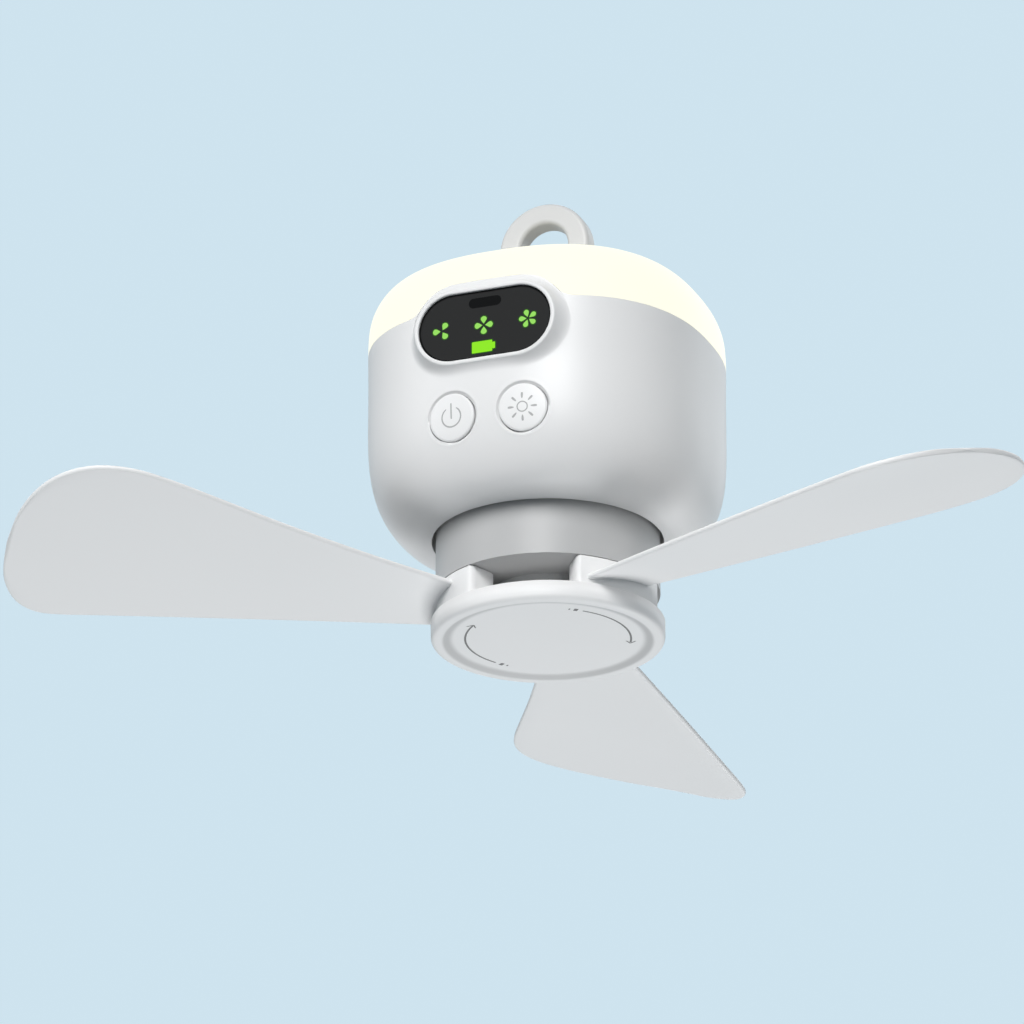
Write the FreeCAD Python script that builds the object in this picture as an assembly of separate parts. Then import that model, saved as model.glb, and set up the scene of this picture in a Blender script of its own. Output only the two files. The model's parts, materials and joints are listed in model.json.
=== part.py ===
# Hanging camping fan with a lamp in its top: a rounded square body on a folding
# loop, a display and two buttons on the front, and three lift-off blades below.
# Heights are measured up from the lock cap's lower face. Every piece is then moved
# so that the origin is the underside of the loop's arch, where the hook bears.
# Front is -Y, up is +Z, and all sizes are in millimetres.
import FreeCAD, Part
import math
import os
from FreeCAD import Vector

# Body
BODY_WIDTH = 111.4
BODY_SQUARENESS = 2.45
BODY_RIM_HEIGHT = 34.1
BODY_SIDE_FOOT = 71.5
BODY_SEAM_HEIGHT = 95.4
BODY_TOP_HEIGHT = 118.6
BODY_RIM_RADIUS = 36.0
BOWL_FULLNESS = 2.86
TOP_ROUND_WIDTH = 14.0
TOP_ROUND_HEIGHT = 18.1
WALL = 2.2
SEAM_GAP = 0.15
TONGUE_THICKNESS = 1.5
TONGUE_RISE = 2.6
LEDGE_DEPTH = 2.2
LEDGE_WIDTH = 4.0
FIT_CLEARANCE = 0.15
SECTION_POINTS = 40

# Neck, recess and hub
NECK_RADIUS = 36.0
NECK_BOTTOM_HEIGHT = 16.2
NECK_WALL = 2.4
RECESS_GAP = 1.3
RECESS_DEPTH = 12.9
NECK_TOP_GAP = 3.0
HUB_FLOOR = 2.5
SKIRT_WALL = 2.2
HUB_BOSS_RADIUS = 13.0
HUB_BOSS_HEIGHT = 3.0

# Lock cap and its bayonet
CAP_RADIUS = 37.5
CAP_THICKNESS = 6.2
CAP_FACE_RADIUS = 33.2
CAP_FACE_DEPTH = 1.0
CAP_EDGE_ROUND = 1.3
CAP_POCKET_FLOOR = 2.0
COLLAR_WALL = 2.2
COLLAR_HEIGHT = 6.2
SPIGOT_RADIUS = 18.6
SPIGOT_WALL = 2.6
SPIGOT_DEPTH = 11.4
LUG_COUNT = 3
LUG_REACH = 2.0
LUG_HEIGHT = 2.0
LUG_ANGLE = 30.0
LUG_GAP = 0.3
BAYONET_CLEARANCE = 0.35

# Blades
BLADE_COUNT = 3
FIRST_BLADE_ANGLE = -26.3
BLADE_THICKNESS = 1.8
BLADE_PITCH = 10.5
BLADE_PITCH_RADIUS = 100.0
BLADE_TWIST_PER_MM = 0.064
BLADE_HEIGHT = 11.9
BLADE_CAMBER = -3.2
BLADE_CAMBER_CENTRE = 20.0
BLADE_CAMBER_HALF_WIDTH = 50.0
BLADE_ROOT_REACH = 30.0
BLADE_TRAILING_TIP = (161.0, -22.8)
BLADE_TRAILING_ROOT_OFFSET = -14.2
BLADE_LEADING_ROOT_OFFSET = 10.3
BLADE_EDGE = [(60.0, 21.8), (90.0, 34.3), (114.0, 45.0), (131.0, 52.4), (144.0, 56.3),
              (155.0, 55.7), (164.0, 50.4), (170.8, 40.8), (175.4, 26.8), (177.0, 10.0),
              (175.7, -4.0), (173.0, -12.0), (168.2, -18.8)]
ROOT_INNER_RADIUS = 25.0
ROOT_LEADING_ANGLE = 34.5
ROOT_TRAILING_ANGLE = 28.5
ROOT_EDGE_ROUND = 2.5
ROOT_END_GAP = 0.2
PEG_RADIUS = 2.4
PEG_CLEARANCE = 0.1
PEG_ANGLE = 20.0
PEG_DEPTH = 7.5

# Motor
SHAFT_RADIUS = 2.0
SHAFT_TOP_RISE = 2.6
SHAFT_BOTTOM_DROP = 2.0
BEARING_RADIUS = 5.0
BEARING_WIDTH = 4.0
RUNNING_CLEARANCE = 0.04
BELL_RADIUS = 19.0
BELL_WALL = 1.5
BELL_FLOOR = 2.0
BELL_TOP_GAP = 1.4
MAGNET_THICKNESS = 1.9
AIR_GAP = 0.45
STATOR_HEIGHT = 10.0
STATOR_RING = 1.6
TOOTH_COUNT = 9
TOOTH_WIDTH = 2.2
TOOTH_SHOE = 1.3
TOOTH_SHOE_ANGLE = 30.0
COIL_THICKNESS = 1.1
COIL_CLEARANCE = 0.05
MOTOR_TUBE_WALL = 2.0
MOTOR_FLANGE_RADIUS = 15.5
MOTOR_FLANGE_THICKNESS = 2.5
MOTOR_PLATE_THICKNESS = 2.5
MOTOR_PLATE_RADIUS = 46.5
PLATE_BOSS_RADIUS = 3.4
PLATE_BOSS_CIRCLE = 42.6
CLIP_THICKNESS = 0.8
CLIP_RADIUS = 3.7

# Screws
SCREW_RADIUS = 1.25
SCREW_CLEARANCE = 0.1
SCREW_HEAD_RADIUS = 2.4
SCREW_HEAD_HEIGHT = 1.6
HUB_SCREW_CIRCLE = 9.5
HUB_SCREW_COUNT = 3
BASE_SCREW_CIRCLE = 12.0
BASE_SCREW_COUNT = 4

# Display
WINDOW_LENGTH = 44.7
WINDOW_HEIGHT = 23.0
WINDOW_CENTRE_HEIGHT = 87.6
WINDOW_THICKNESS = 1.6
WINDOW_SINK = 0.9
WINDOW_LEDGE = 1.4
BEZEL_WIDTH = 1.5
BOSS_PROUD = 1.8
BOSS_EDGE_ROUND = 0.7
BOSS_SWEEP = 3.0
TAB_FILLET = 6.0
MASK_THICKNESS = 2.4
SENSOR_SLOT_LENGTH = 11.0
SENSOR_SLOT_HEIGHT = 3.4
SENSOR_SLOT_RISE = 7.6
ICON_SPACING = 14.6
ICON_RADIUS = 3.3
BATTERY_ICON_WIDTH = 8.0
BATTERY_ICON_HEIGHT = 4.3
BATTERY_ICON_DROP = 7.4
DISPLAY_LED_SIZE = 2.0
DISPLAY_LED_THICKNESS = 0.8

# Buttons and their board
BUTTON_SPACING = 24.0
BUTTON_HEIGHT = 57.9
BUTTON_RADIUS = 7.8
BUTTON_GAP = 0.3
BUTTON_GROOVE_WIDTH = 1.0
BUTTON_GROOVE_DEPTH = 0.7
BUTTON_FLANGE = 1.3
BUTTON_FLANGE_THICKNESS = 1.2
BUTTON_FLANGE_GAP = 0.3
BUTTON_TRAVEL = 0.8
PLUNGER_RADIUS = 1.7
PLUNGER_DEPTH = 2.6
SWITCH_SIZE = 6.2
SWITCH_BODY = 3.6
SWITCH_FRONT_GAP = 1.0
BOARD_THICKNESS = 1.6
CONTROL_BOARD_WIDTH = 46.0
CONTROL_BOARD_FOOT = 53.0
CONTROL_BOSS_RADIUS = 2.6
CONTROL_BOSS_SPREAD = 20.0
CONTROL_BOSS_HEIGHT = 69.6

# Batteries, main board and charging socket
CELL_RADIUS = 9.1
CELL_LENGTH = 65.0
CELL_COUNT = 4
CELL_SPACING = 18.6
CELL_ROW_SHIFT = 3.6
HOLDER_FLOOR = 2.2
HOLDER_END = 2.4
HOLDER_CLEARANCE = 0.15
TAB_THICKNESS = 0.3
MAIN_BOARD_WIDTH = 66.0
MAIN_BOARD_FRONT = -24.0
MAIN_BOARD_REAR_GAP = 4.6
SOCKET_WIDTH = 8.9
SOCKET_HEIGHT = 3.2
SOCKET_LENGTH = 8.8
SOCKET_SINK = 0.6
SOCKET_WALL = 0.35
SOCKET_TONGUE = 0.7

# Lamp
LAMP_PLATE_THICKNESS = 1.6
LED_RING_OUTER = 40.0
LED_RING_INNER = 29.0
LED_BOARD_THICKNESS = 1.2
LED_COUNT = 16
LED_SIZE = 3.0
LED_THICKNESS = 0.9

# Hanging loop and its seat
LOOP_OUTER_RADIUS = 15.4
LOOP_INNER_RADIUS = 8.2
LOOP_THICKNESS = 7.6
LOOP_CENTRE_HEIGHT = 137.0
LOOP_EDGE_ROUND = 1.5
LOOP_PIVOT_DEPTH = 5.6
PIN_RADIUS = 1.6
SEAT_WALL = 2.4
SEAT_FLOOR = 1.6
SEAT_CLEARANCE = 0.4
SEAT_FLANGE = 2.0
SEAT_FLANGE_THICKNESS = 1.0
SEAT_CORNER = 0.8
PILLAR_RADIUS = 3.2
PILLAR_SCREW_GRIP = 8.0
PLATE_SCREW_GRIP = 7.0
BOARD_SCREW_GRIP = 5.0
LAMP_POST_LENGTH = 9.0

# Worked out from the sizes above
HALF_WIDTH = BODY_WIDTH / 2
EYE_HEIGHT = LOOP_CENTRE_HEIGHT + LOOP_INNER_RADIUS
PLATE_BOTTOM = BODY_RIM_HEIGHT + RECESS_DEPTH
PLATE_TOP = PLATE_BOTTOM + MOTOR_PLATE_THICKNESS
RECESS_RADIUS = NECK_RADIUS + RECESS_GAP
SKIRT_RADIUS = RECESS_RADIUS + SKIRT_WALL
HUB_TOP = PLATE_BOTTOM - NECK_TOP_GAP
HUB_FLOOR_TOP = NECK_BOTTOM_HEIGHT + HUB_FLOOR
BELL_BOTTOM = HUB_FLOOR_TOP + HUB_BOSS_HEIGHT
MOTOR_FLANGE_BOTTOM = PLATE_BOTTOM - MOTOR_FLANGE_THICKNESS
BELL_TOP = MOTOR_FLANGE_BOTTOM - BELL_TOP_GAP
MOTOR_TUBE_RADIUS = BEARING_RADIUS + MOTOR_TUBE_WALL
MOTOR_TUBE_BOTTOM = BELL_BOTTOM + BELL_FLOOR + BELL_TOP_GAP
MAGNET_OUTER = BELL_RADIUS - BELL_WALL
MAGNET_INNER = MAGNET_OUTER - MAGNET_THICKNESS
STATOR_RADIUS = MAGNET_INNER - AIR_GAP
STATOR_BOTTOM = (MOTOR_TUBE_BOTTOM + MOTOR_FLANGE_BOTTOM - STATOR_HEIGHT) / 2
STATOR_TOP = STATOR_BOTTOM + STATOR_HEIGHT
BEZEL_FRONT = -HALF_WIDTH - BOSS_PROUD
WINDOW_FRONT = BEZEL_FRONT + WINDOW_SINK
WINDOW_BACK = WINDOW_FRONT + WINDOW_THICKNESS
MASK_BACK = WINDOW_BACK + MASK_THICKNESS
INNER_HALF_WIDTH = HALF_WIDTH - WALL
LEDGE_TOP = BODY_SEAM_HEIGHT - TONGUE_RISE
LAMP_PLATE_TOP = LEDGE_TOP + LAMP_PLATE_THICKNESS
HOLDER_BOTTOM = PLATE_TOP
CELL_HEIGHT = HOLDER_BOTTOM + HOLDER_FLOOR + CELL_RADIUS
MAIN_BOARD_BOTTOM = CELL_HEIGHT + CELL_RADIUS + HOLDER_END
MAIN_BOARD_TOP = MAIN_BOARD_BOTTOM + BOARD_THICKNESS
MAIN_BOARD_REAR = INNER_HALF_WIDTH - MAIN_BOARD_REAR_GAP
SOCKET_REAR = HALF_WIDTH - SOCKET_SINK
SOCKET_CENTRE_HEIGHT = MAIN_BOARD_TOP + SOCKET_HEIGHT / 2
LOOP_PIVOT_HEIGHT = BODY_TOP_HEIGHT - LOOP_PIVOT_DEPTH
LOOP_FOOT_RADIUS = LOOP_THICKNESS / 2
SEAT_HALF_WIDTH = LOOP_OUTER_RADIUS + SEAT_CLEARANCE
SEAT_FRONT = -LOOP_FOOT_RADIUS - SEAT_CLEARANCE
SEAT_REAR = LOOP_CENTRE_HEIGHT + LOOP_OUTER_RADIUS - LOOP_PIVOT_HEIGHT + SEAT_CLEARANCE
SEAT_BOTTOM = LOOP_PIVOT_HEIGHT - LOOP_FOOT_RADIUS - SEAT_CLEARANCE
BUTTON_X = BUTTON_SPACING / 2
BUTTON_OUTER_X = BUTTON_X + BUTTON_RADIUS + BUTTON_FLANGE
BUTTON_FOOT = BUTTON_HEIGHT - BUTTON_RADIUS - BUTTON_FLANGE
BUTTON_FOOT_FALL = (BODY_SIDE_FOOT - BUTTON_FOOT) / (BODY_SIDE_FOOT - BODY_RIM_HEIGHT - WALL)
BUTTON_FOOT_WIDTH = BODY_RIM_RADIUS + (INNER_HALF_WIDTH - BODY_RIM_RADIUS) * (
    1 - max(0.0, BUTTON_FOOT_FALL) ** BOWL_FULLNESS) ** (1 / BOWL_FULLNESS)
BUTTON_WALL_DEPTH = BUTTON_FOOT_WIDTH * (
    1 - (BUTTON_OUTER_X / BUTTON_FOOT_WIDTH) ** BODY_SQUARENESS) ** (1 / BODY_SQUARENESS)
BUTTON_FLANGE_FRONT = -BUTTON_WALL_DEPTH + BUTTON_FLANGE_GAP
BUTTON_BACK = BUTTON_FLANGE_FRONT + BUTTON_FLANGE_THICKNESS
BUTTON_FACE_DROP = HALF_WIDTH * (
    1 - (1 - ((BUTTON_X + BUTTON_RADIUS) / HALF_WIDTH) ** BODY_SQUARENESS) ** (1 / BODY_SQUARENESS))
CONTROL_FRONT = BUTTON_BACK + SWITCH_FRONT_GAP + SWITCH_BODY
CONTROL_BACK = CONTROL_FRONT + BOARD_THICKNESS


def cylinder(radius, low, high, x=0.0, y=0.0):
    return Part.makeCylinder(radius, high - low, Vector(x, y, low))


def ring(outer, inner, low, high, x=0.0, y=0.0):
    return cylinder(outer, low, high, x, y).cut(cylinder(inner, low, high, x, y))


def cylinder_y(radius, front, back, x, height):
    return Part.makeCylinder(radius, back - front, Vector(x, front, height), Vector(0, 1, 0))


def block(x_low, x_high, y_low, y_high, z_low, z_high):
    corner = Vector(x_low, y_low, z_low)
    return Part.makeBox(x_high - x_low, y_high - y_low, z_high - z_low, corner)


def joined(shapes):
    return shapes[0].multiFuse(shapes[1:]).removeSplitter()


def circle_places(count, radius, first_angle=0.0):
    angles = [math.radians(first_angle + 360.0 * k / count) for k in range(count)]
    return [(radius * math.cos(a), radius * math.sin(a)) for a in angles]


def screw_up(x, y, head_bottom, tip):
    head = cylinder(SCREW_HEAD_RADIUS, head_bottom, head_bottom + SCREW_HEAD_HEIGHT, x, y)
    return joined([head, cylinder(SCREW_RADIUS, head_bottom, tip, x, y)])


def screw_down(x, y, tip, head_top):
    head = cylinder(SCREW_HEAD_RADIUS, head_top - SCREW_HEAD_HEIGHT, head_top, x, y)
    return joined([head, cylinder(SCREW_RADIUS, tip, head_top, x, y)])


def screw_hole(x, y, low, high):
    return cylinder(SCREW_RADIUS + SCREW_CLEARANCE, low, high, x, y)


def rounded_rectangle(x_half, y_low, y_high, corner, low, high):
    plain = block(-x_half, x_half, y_low, y_high, low, high)
    upright = [e for e in plain.Edges if abs(e.Vertexes[0].Z - e.Vertexes[1].Z) > 1e-6]
    return plain.makeFillet(corner, upright)


# Body sections and solids

def section_wire(half_width, squareness, height):
    points = []
    for k in range(SECTION_POINTS):
        angle = 2 * math.pi * k / SECTION_POINTS
        c = math.cos(angle)
        s = math.sin(angle)
        r = half_width * (abs(c) ** squareness + abs(s) ** squareness) ** (-1 / squareness)
        points.append(Vector(r * c, r * s, height))
    curve = Part.BSplineCurve()
    curve.interpolate(Points=points, PeriodicFlag=True)
    return Part.Wire([curve.toShape()])


def body_section(half_width, height):
    # Sections turn from a circle at the lower rim to a rounded square at the sides.
    fall = max(0.0, (BODY_SIDE_FOOT - height) / (BODY_SIDE_FOOT - BODY_RIM_HEIGHT))
    squareness = 2 + (BODY_SQUARENESS - 2) * (1 - min(1.0, fall) ** 5)
    return section_wire(half_width, squareness, height)


def body_solid(inset):
    wires = []
    bowl_width = HALF_WIDTH - inset - BODY_RIM_RADIUS
    bowl_height = BODY_SIDE_FOOT - BODY_RIM_HEIGHT - inset
    for degrees in (0, 6, 15, 27, 40, 53, 66, 78, 90):
        angle = math.radians(degrees)
        across = math.sin(angle) ** (2 / BOWL_FULLNESS) if degrees else 0.0
        down = math.cos(angle) ** (2 / BOWL_FULLNESS) if degrees < 90 else 0.0
        wires.append(body_section(BODY_RIM_RADIUS + bowl_width * across,
                                  BODY_SIDE_FOOT - bowl_height * down))
    shoulder = BODY_TOP_HEIGHT - TOP_ROUND_HEIGHT
    wires.append(body_section(HALF_WIDTH - inset, (BODY_SIDE_FOOT + shoulder) / 2))
    for degrees in (0, 15, 30, 45, 60, 75, 90):
        angle = math.radians(degrees)
        width = HALF_WIDTH - TOP_ROUND_WIDTH + (TOP_ROUND_WIDTH - inset) * math.cos(angle)
        wires.append(body_section(width, shoulder + (TOP_ROUND_HEIGHT - inset) * math.sin(angle)))
    return Part.makeLoft(wires, True, False)


def straight_body(inset, low, high):
    face = Part.Face(section_wire(HALF_WIDTH - inset, BODY_SQUARENESS, low))
    return face.extrude(Vector(0, 0, high - low))


# Display outlines

def pill(grow, front, back, length=WINDOW_LENGTH, height=WINDOW_HEIGHT, centre=WINDOW_CENTRE_HEIGHT):
    radius = height / 2 + grow
    reach = length / 2 - height / 2
    ends = [cylinder_y(radius, front, back, x, centre) for x in (-reach, reach)]
    middle = block(-reach, reach, front, back, centre - radius, centre + radius)
    return joined(ends + [middle])


def front_tab(grow):
    # The housing's tab rises round the display and sweeps down into the seam.
    radius = WINDOW_HEIGHT / 2 + BEZEL_WIDTH + BOSS_SWEEP + grow
    fillet = TAB_FILLET - grow
    reach = (WINDOW_LENGTH - WINDOW_HEIGHT) / 2
    seam = BODY_SEAM_HEIGHT + grow
    rise = seam + fillet - WINDOW_CENTRE_HEIGHT
    run = math.sqrt((radius + fillet) ** 2 - rise ** 2)
    lean = math.atan2(rise, run)
    bottom = BODY_SEAM_HEIGHT - WALL
    far = reach + run

    def spot(x, z):
        return Vector(x, -HALF_WIDTH - WALL, z)

    def on_pill(angle):
        return spot(reach + radius * math.cos(angle), WINDOW_CENTRE_HEIGHT + radius * math.sin(angle))

    def on_fillet(angle):
        return spot(far + fillet * math.cos(angle), seam + fillet + fillet * math.sin(angle))

    def mirrored(point):
        return Vector(-point.x, point.y, point.z)

    meet = on_pill(lean)
    top = on_pill(math.pi / 2)
    foot = on_fillet(-math.pi / 2)
    fillet_middle = on_fillet((lean - math.pi - math.pi / 2) / 2)
    pill_middle = on_pill((lean + math.pi / 2) / 2)
    edges = [
        Part.LineSegment(mirrored(top), top).toShape(),
        Part.Arc(top, pill_middle, meet).toShape(),
        Part.Arc(meet, fillet_middle, foot).toShape(),
        Part.LineSegment(foot, spot(far, bottom)).toShape(),
        Part.LineSegment(spot(far, bottom), spot(-far, bottom)).toShape(),
        Part.LineSegment(spot(-far, bottom), mirrored(foot)).toShape(),
        Part.Arc(mirrored(foot), mirrored(fillet_middle), mirrored(meet)).toShape(),
        Part.Arc(mirrored(meet), mirrored(pill_middle), mirrored(top)).toShape(),
    ]
    return Part.Face(Part.Wire(edges)).extrude(Vector(0, HALF_WIDTH, 0))


def display_bay():
    half = WINDOW_LENGTH / 2 + BEZEL_WIDTH + BOSS_SWEEP
    top = WINDOW_CENTRE_HEIGHT + WINDOW_HEIGHT / 2 + BEZEL_WIDTH + BOSS_SWEEP
    return block(-half, half, -HALF_WIDTH - WALL, CONTROL_BACK + WALL, CONTROL_BOARD_FOOT, top)


# Housing and cover

def housing_shell(outer, inner):
    below = block(-BODY_WIDTH, BODY_WIDTH, -BODY_WIDTH, BODY_WIDTH, 0, BODY_SEAM_HEIGHT)
    walls = outer.cut(inner)
    shell = walls.common(below).fuse(walls.common(front_tab(0)))
    tongue_inset = WALL + SEAM_GAP
    tongue_low = BODY_SEAM_HEIGHT - 2 * TONGUE_RISE
    tongue = straight_body(tongue_inset, tongue_low, BODY_SEAM_HEIGHT + TONGUE_RISE)
    tongue = tongue.cut(straight_body(tongue_inset + TONGUE_THICKNESS, tongue_low,
                                      BODY_SEAM_HEIGHT + TONGUE_RISE))
    root = straight_body(WALL / 2, tongue_low, BODY_SEAM_HEIGHT - SEAM_GAP)
    root = root.cut(straight_body(tongue_inset + TONGUE_THICKNESS / 2, tongue_low, BODY_SEAM_HEIGHT))
    ledge = straight_body(WALL / 2, LEDGE_TOP - LEDGE_DEPTH, LEDGE_TOP)
    ledge = ledge.cut(straight_body(WALL + LEDGE_WIDTH, LEDGE_TOP - LEDGE_DEPTH, LEDGE_TOP))
    bay = display_bay()
    rim = joined([tongue, root, ledge]).cut(bay.common(inner))
    skirt = cylinder(SKIRT_RADIUS, BODY_RIM_HEIGHT, PLATE_BOTTOM).common(outer)
    bosses = [cylinder(PLATE_BOSS_RADIUS, BODY_RIM_HEIGHT, PLATE_BOTTOM, x, y).common(outer)
              for x, y in plate_boss_places()]
    corner_posts = [block(x - PLATE_BOSS_RADIUS, x + PLATE_BOSS_RADIUS, y - PLATE_BOSS_RADIUS,
                          y + PLATE_BOSS_RADIUS, LEDGE_TOP - LAMP_POST_LENGTH, LEDGE_TOP).common(outer)
                    for x, y in lamp_post_places()]
    board_bosses = [cylinder_y(CONTROL_BOSS_RADIUS, -HALF_WIDTH, CONTROL_BACK - BOARD_THICKNESS, x, z)
                    .common(outer) for x, z in control_boss_places()]
    boss = display_boss()
    for piece in [rim, skirt, boss] + bosses + corner_posts + board_bosses:
        shell = shell.fuse(piece)
    shell = shell.cut(cylinder(RECESS_RADIUS, 0, PLATE_BOTTOM))
    shell = shell.cut(pill(FIT_CLEARANCE, BEZEL_FRONT - WALL, WINDOW_BACK))
    shell = shell.cut(pill(-WINDOW_LEDGE, WINDOW_BACK - WALL, CONTROL_FRONT))
    for x in (-BUTTON_X, BUTTON_X):
        hole = BUTTON_RADIUS + BUTTON_GAP
        groove = BUTTON_RADIUS + BUTTON_GROOVE_WIDTH
        shell = shell.cut(cylinder_y(hole, -BODY_WIDTH, BUTTON_FLANGE_FRONT, x, BUTTON_HEIGHT))
        groove_back = -HALF_WIDTH + BUTTON_FACE_DROP + BUTTON_GROOVE_DEPTH
        shell = shell.cut(cylinder_y(groove, -BODY_WIDTH, groove_back, x, BUTTON_HEIGHT))
    slot = pill(FIT_CLEARANCE, INNER_HALF_WIDTH - WALL, HALF_WIDTH + WALL,
                SOCKET_WIDTH, SOCKET_HEIGHT, SOCKET_CENTRE_HEIGHT)
    shell = shell.cut(slot)
    for x, y in plate_boss_places():
        shell = shell.cut(screw_hole(x, y, PLATE_BOTTOM - PLATE_SCREW_GRIP, PLATE_BOTTOM))
    for x, y in lamp_post_places():
        shell = shell.cut(screw_hole(x, y, LEDGE_TOP - PLATE_SCREW_GRIP, LEDGE_TOP))
    for x, z in control_boss_places():
        depth = CONTROL_FRONT - BOARD_SCREW_GRIP
        shell = shell.cut(cylinder_y(SCREW_RADIUS + SCREW_CLEARANCE, depth, CONTROL_FRONT, x, z))
    return shell


def display_boss():
    # The boss's rim is softly rounded, and its side sweeps out into the curved front.
    rim = WINDOW_HEIGHT / 2 + BEZEL_WIDTH
    edge = BEZEL_FRONT + BOSS_EDGE_ROUND
    back = CONTROL_FRONT - SWITCH_BODY
    turn = math.sqrt(0.5)

    def spot(across, y):
        return Vector(0, y, WINDOW_CENTRE_HEIGHT + across)

    def side(s):
        inner = spot(s * (rim - BOSS_EDGE_ROUND), BEZEL_FRONT)
        rounding = spot(s * (rim - BOSS_EDGE_ROUND * (1 - turn)), edge - BOSS_EDGE_ROUND * turn)
        outer = spot(s * rim, edge)
        sweep = spot(s * (rim + BOSS_SWEEP * (1 - turn)), edge + BOSS_SWEEP * turn)
        foot = spot(s * (rim + BOSS_SWEEP), edge + BOSS_SWEEP)
        return inner, rounding, outer, sweep, foot

    def flank(s):
        inner, rounding, outer, sweep, foot = side(s)
        return [Part.Arc(inner, rounding, outer).toShape(), Part.Arc(outer, sweep, foot).toShape(),
                Part.LineSegment(foot, spot(s * (rim + BOSS_SWEEP), back)).toShape()]

    reach = (WINDOW_LENGTH - WINDOW_HEIGHT) / 2
    front = Part.LineSegment(side(-1)[0], side(1)[0]).toShape()
    rear = Part.LineSegment(spot(-rim - BOSS_SWEEP, back), spot(rim + BOSS_SWEEP, back)).toShape()
    outline = Part.Wire(Part.__sortEdges__([front, rear] + flank(-1) + flank(1)))
    middle = Part.Face(outline).extrude(Vector(2 * reach, 0, 0))
    middle.translate(Vector(-reach, 0, 0))
    half_front = Part.LineSegment(spot(0, BEZEL_FRONT), side(1)[0]).toShape()
    half_rear = Part.LineSegment(spot(0, back), spot(rim + BOSS_SWEEP, back)).toShape()
    axis = Part.LineSegment(spot(0, BEZEL_FRONT), spot(0, back)).toShape()
    half = Part.Face(Part.Wire(Part.__sortEdges__([half_front, half_rear, axis] + flank(1))))
    end = half.revolve(spot(0, 0), Vector(0, 1, 0), 360)
    boss = middle
    for x in (-reach, reach):
        placed = end.copy()
        placed.translate(Vector(x, 0, 0))
        boss = boss.fuse(placed)
    return boss


def lamp_cover(outer, inner):
    above = block(-BODY_WIDTH, BODY_WIDTH, -BODY_WIDTH, BODY_WIDTH,
                  BODY_SEAM_HEIGHT + SEAM_GAP, BODY_TOP_HEIGHT + WALL)
    cover = outer.cut(inner).common(above).cut(front_tab(SEAM_GAP))
    return cover.cut(seat_block(SEAT_WALL + FIT_CLEARANCE, INNER_HALF_WIDTH, BODY_TOP_HEIGHT + WALL))


def seat_block(grow, low, high):
    return rounded_rectangle(SEAT_HALF_WIDTH + grow, SEAT_FRONT - grow, SEAT_REAR + grow,
                             SEAT_CORNER + grow, low, high)


def loop_seat():
    # The tray that the loop folds into stands on the lamp plate on four pillars.
    tray = seat_block(SEAT_WALL, SEAT_BOTTOM - SEAT_FLOOR, BODY_TOP_HEIGHT)
    flange_top = BODY_TOP_HEIGHT + SEAT_FLANGE_THICKNESS
    flange = seat_block(SEAT_WALL + SEAT_FLANGE, BODY_TOP_HEIGHT, flange_top)
    pillars = [cylinder(PILLAR_RADIUS, LAMP_PLATE_TOP, SEAT_BOTTOM, x, y) for x, y in pillar_places()]
    seat = joined([tray, flange] + pillars)
    seat = seat.cut(seat_block(0, SEAT_BOTTOM, flange_top))
    pin = Part.makeCylinder(PIN_RADIUS + FIT_CLEARANCE / 3, 2 * pin_half_length(),
                            Vector(-pin_half_length(), 0, LOOP_PIVOT_HEIGHT), Vector(1, 0, 0))
    seat = seat.cut(pin)
    for x, y in pillar_places():
        seat = seat.cut(screw_hole(x, y, LAMP_PLATE_TOP, LAMP_PLATE_TOP + PILLAR_SCREW_GRIP))
    return seat


def pin_half_length():
    return SEAT_HALF_WIDTH + SEAT_WALL * 0.75


def loop_pin():
    return Part.makeCylinder(PIN_RADIUS, 2 * pin_half_length(),
                             Vector(-pin_half_length(), 0, LOOP_PIVOT_HEIGHT), Vector(1, 0, 0))


def hang_loop():
    # A horseshoe of soft rectangular section whose legs end round the pivot pin.
    half = LOOP_THICKNESS / 2
    arch = cylinder_y(LOOP_OUTER_RADIUS, -half, half, 0, LOOP_CENTRE_HEIGHT)
    legs = block(-LOOP_OUTER_RADIUS, LOOP_OUTER_RADIUS, -half, half,
                 LOOP_PIVOT_HEIGHT, LOOP_CENTRE_HEIGHT)
    eye = cylinder_y(LOOP_INNER_RADIUS, -half, half, 0, LOOP_CENTRE_HEIGHT)
    way = block(-LOOP_INNER_RADIUS, LOOP_INNER_RADIUS, -half, half,
                LOOP_PIVOT_HEIGHT - half, LOOP_CENTRE_HEIGHT)
    horseshoe = joined([arch, legs]).cut(eye).cut(way).removeSplitter()
    edges = [e for e in horseshoe.Edges
             if all(abs(abs(v.Y) - half) < 1e-6 for v in e.Vertexes)
             and abs(e.Vertexes[0].Y - e.Vertexes[-1].Y) < 1e-6
             and e.BoundBox.ZMax > LOOP_PIVOT_HEIGHT + 1e-3]
    horseshoe = horseshoe.makeFillet(LOOP_EDGE_ROUND, edges)
    feet = []
    for side in (-1, 1):
        start = min(side * LOOP_INNER_RADIUS, side * LOOP_OUTER_RADIUS)
        width = LOOP_OUTER_RADIUS - LOOP_INNER_RADIUS
        feet.append(Part.makeCylinder(half, width, Vector(start, 0, LOOP_PIVOT_HEIGHT), Vector(1, 0, 0)))
    loop = joined([horseshoe] + feet)
    bore = Part.makeCylinder(PIN_RADIUS + RUNNING_CLEARANCE, 2 * LOOP_OUTER_RADIUS,
                             Vector(-LOOP_OUTER_RADIUS, 0, LOOP_PIVOT_HEIGHT), Vector(1, 0, 0))
    return loop.cut(bore)


def plate_boss_places():
    return circle_places(4, PLATE_BOSS_CIRCLE, 45.0)


def lamp_post_places():
    return circle_places(4, HALF_WIDTH - WALL - LEDGE_WIDTH / 2, 45.0)


def control_boss_places():
    return [(-CONTROL_BOSS_SPREAD, CONTROL_BOSS_HEIGHT), (CONTROL_BOSS_SPREAD, CONTROL_BOSS_HEIGHT)]


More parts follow.
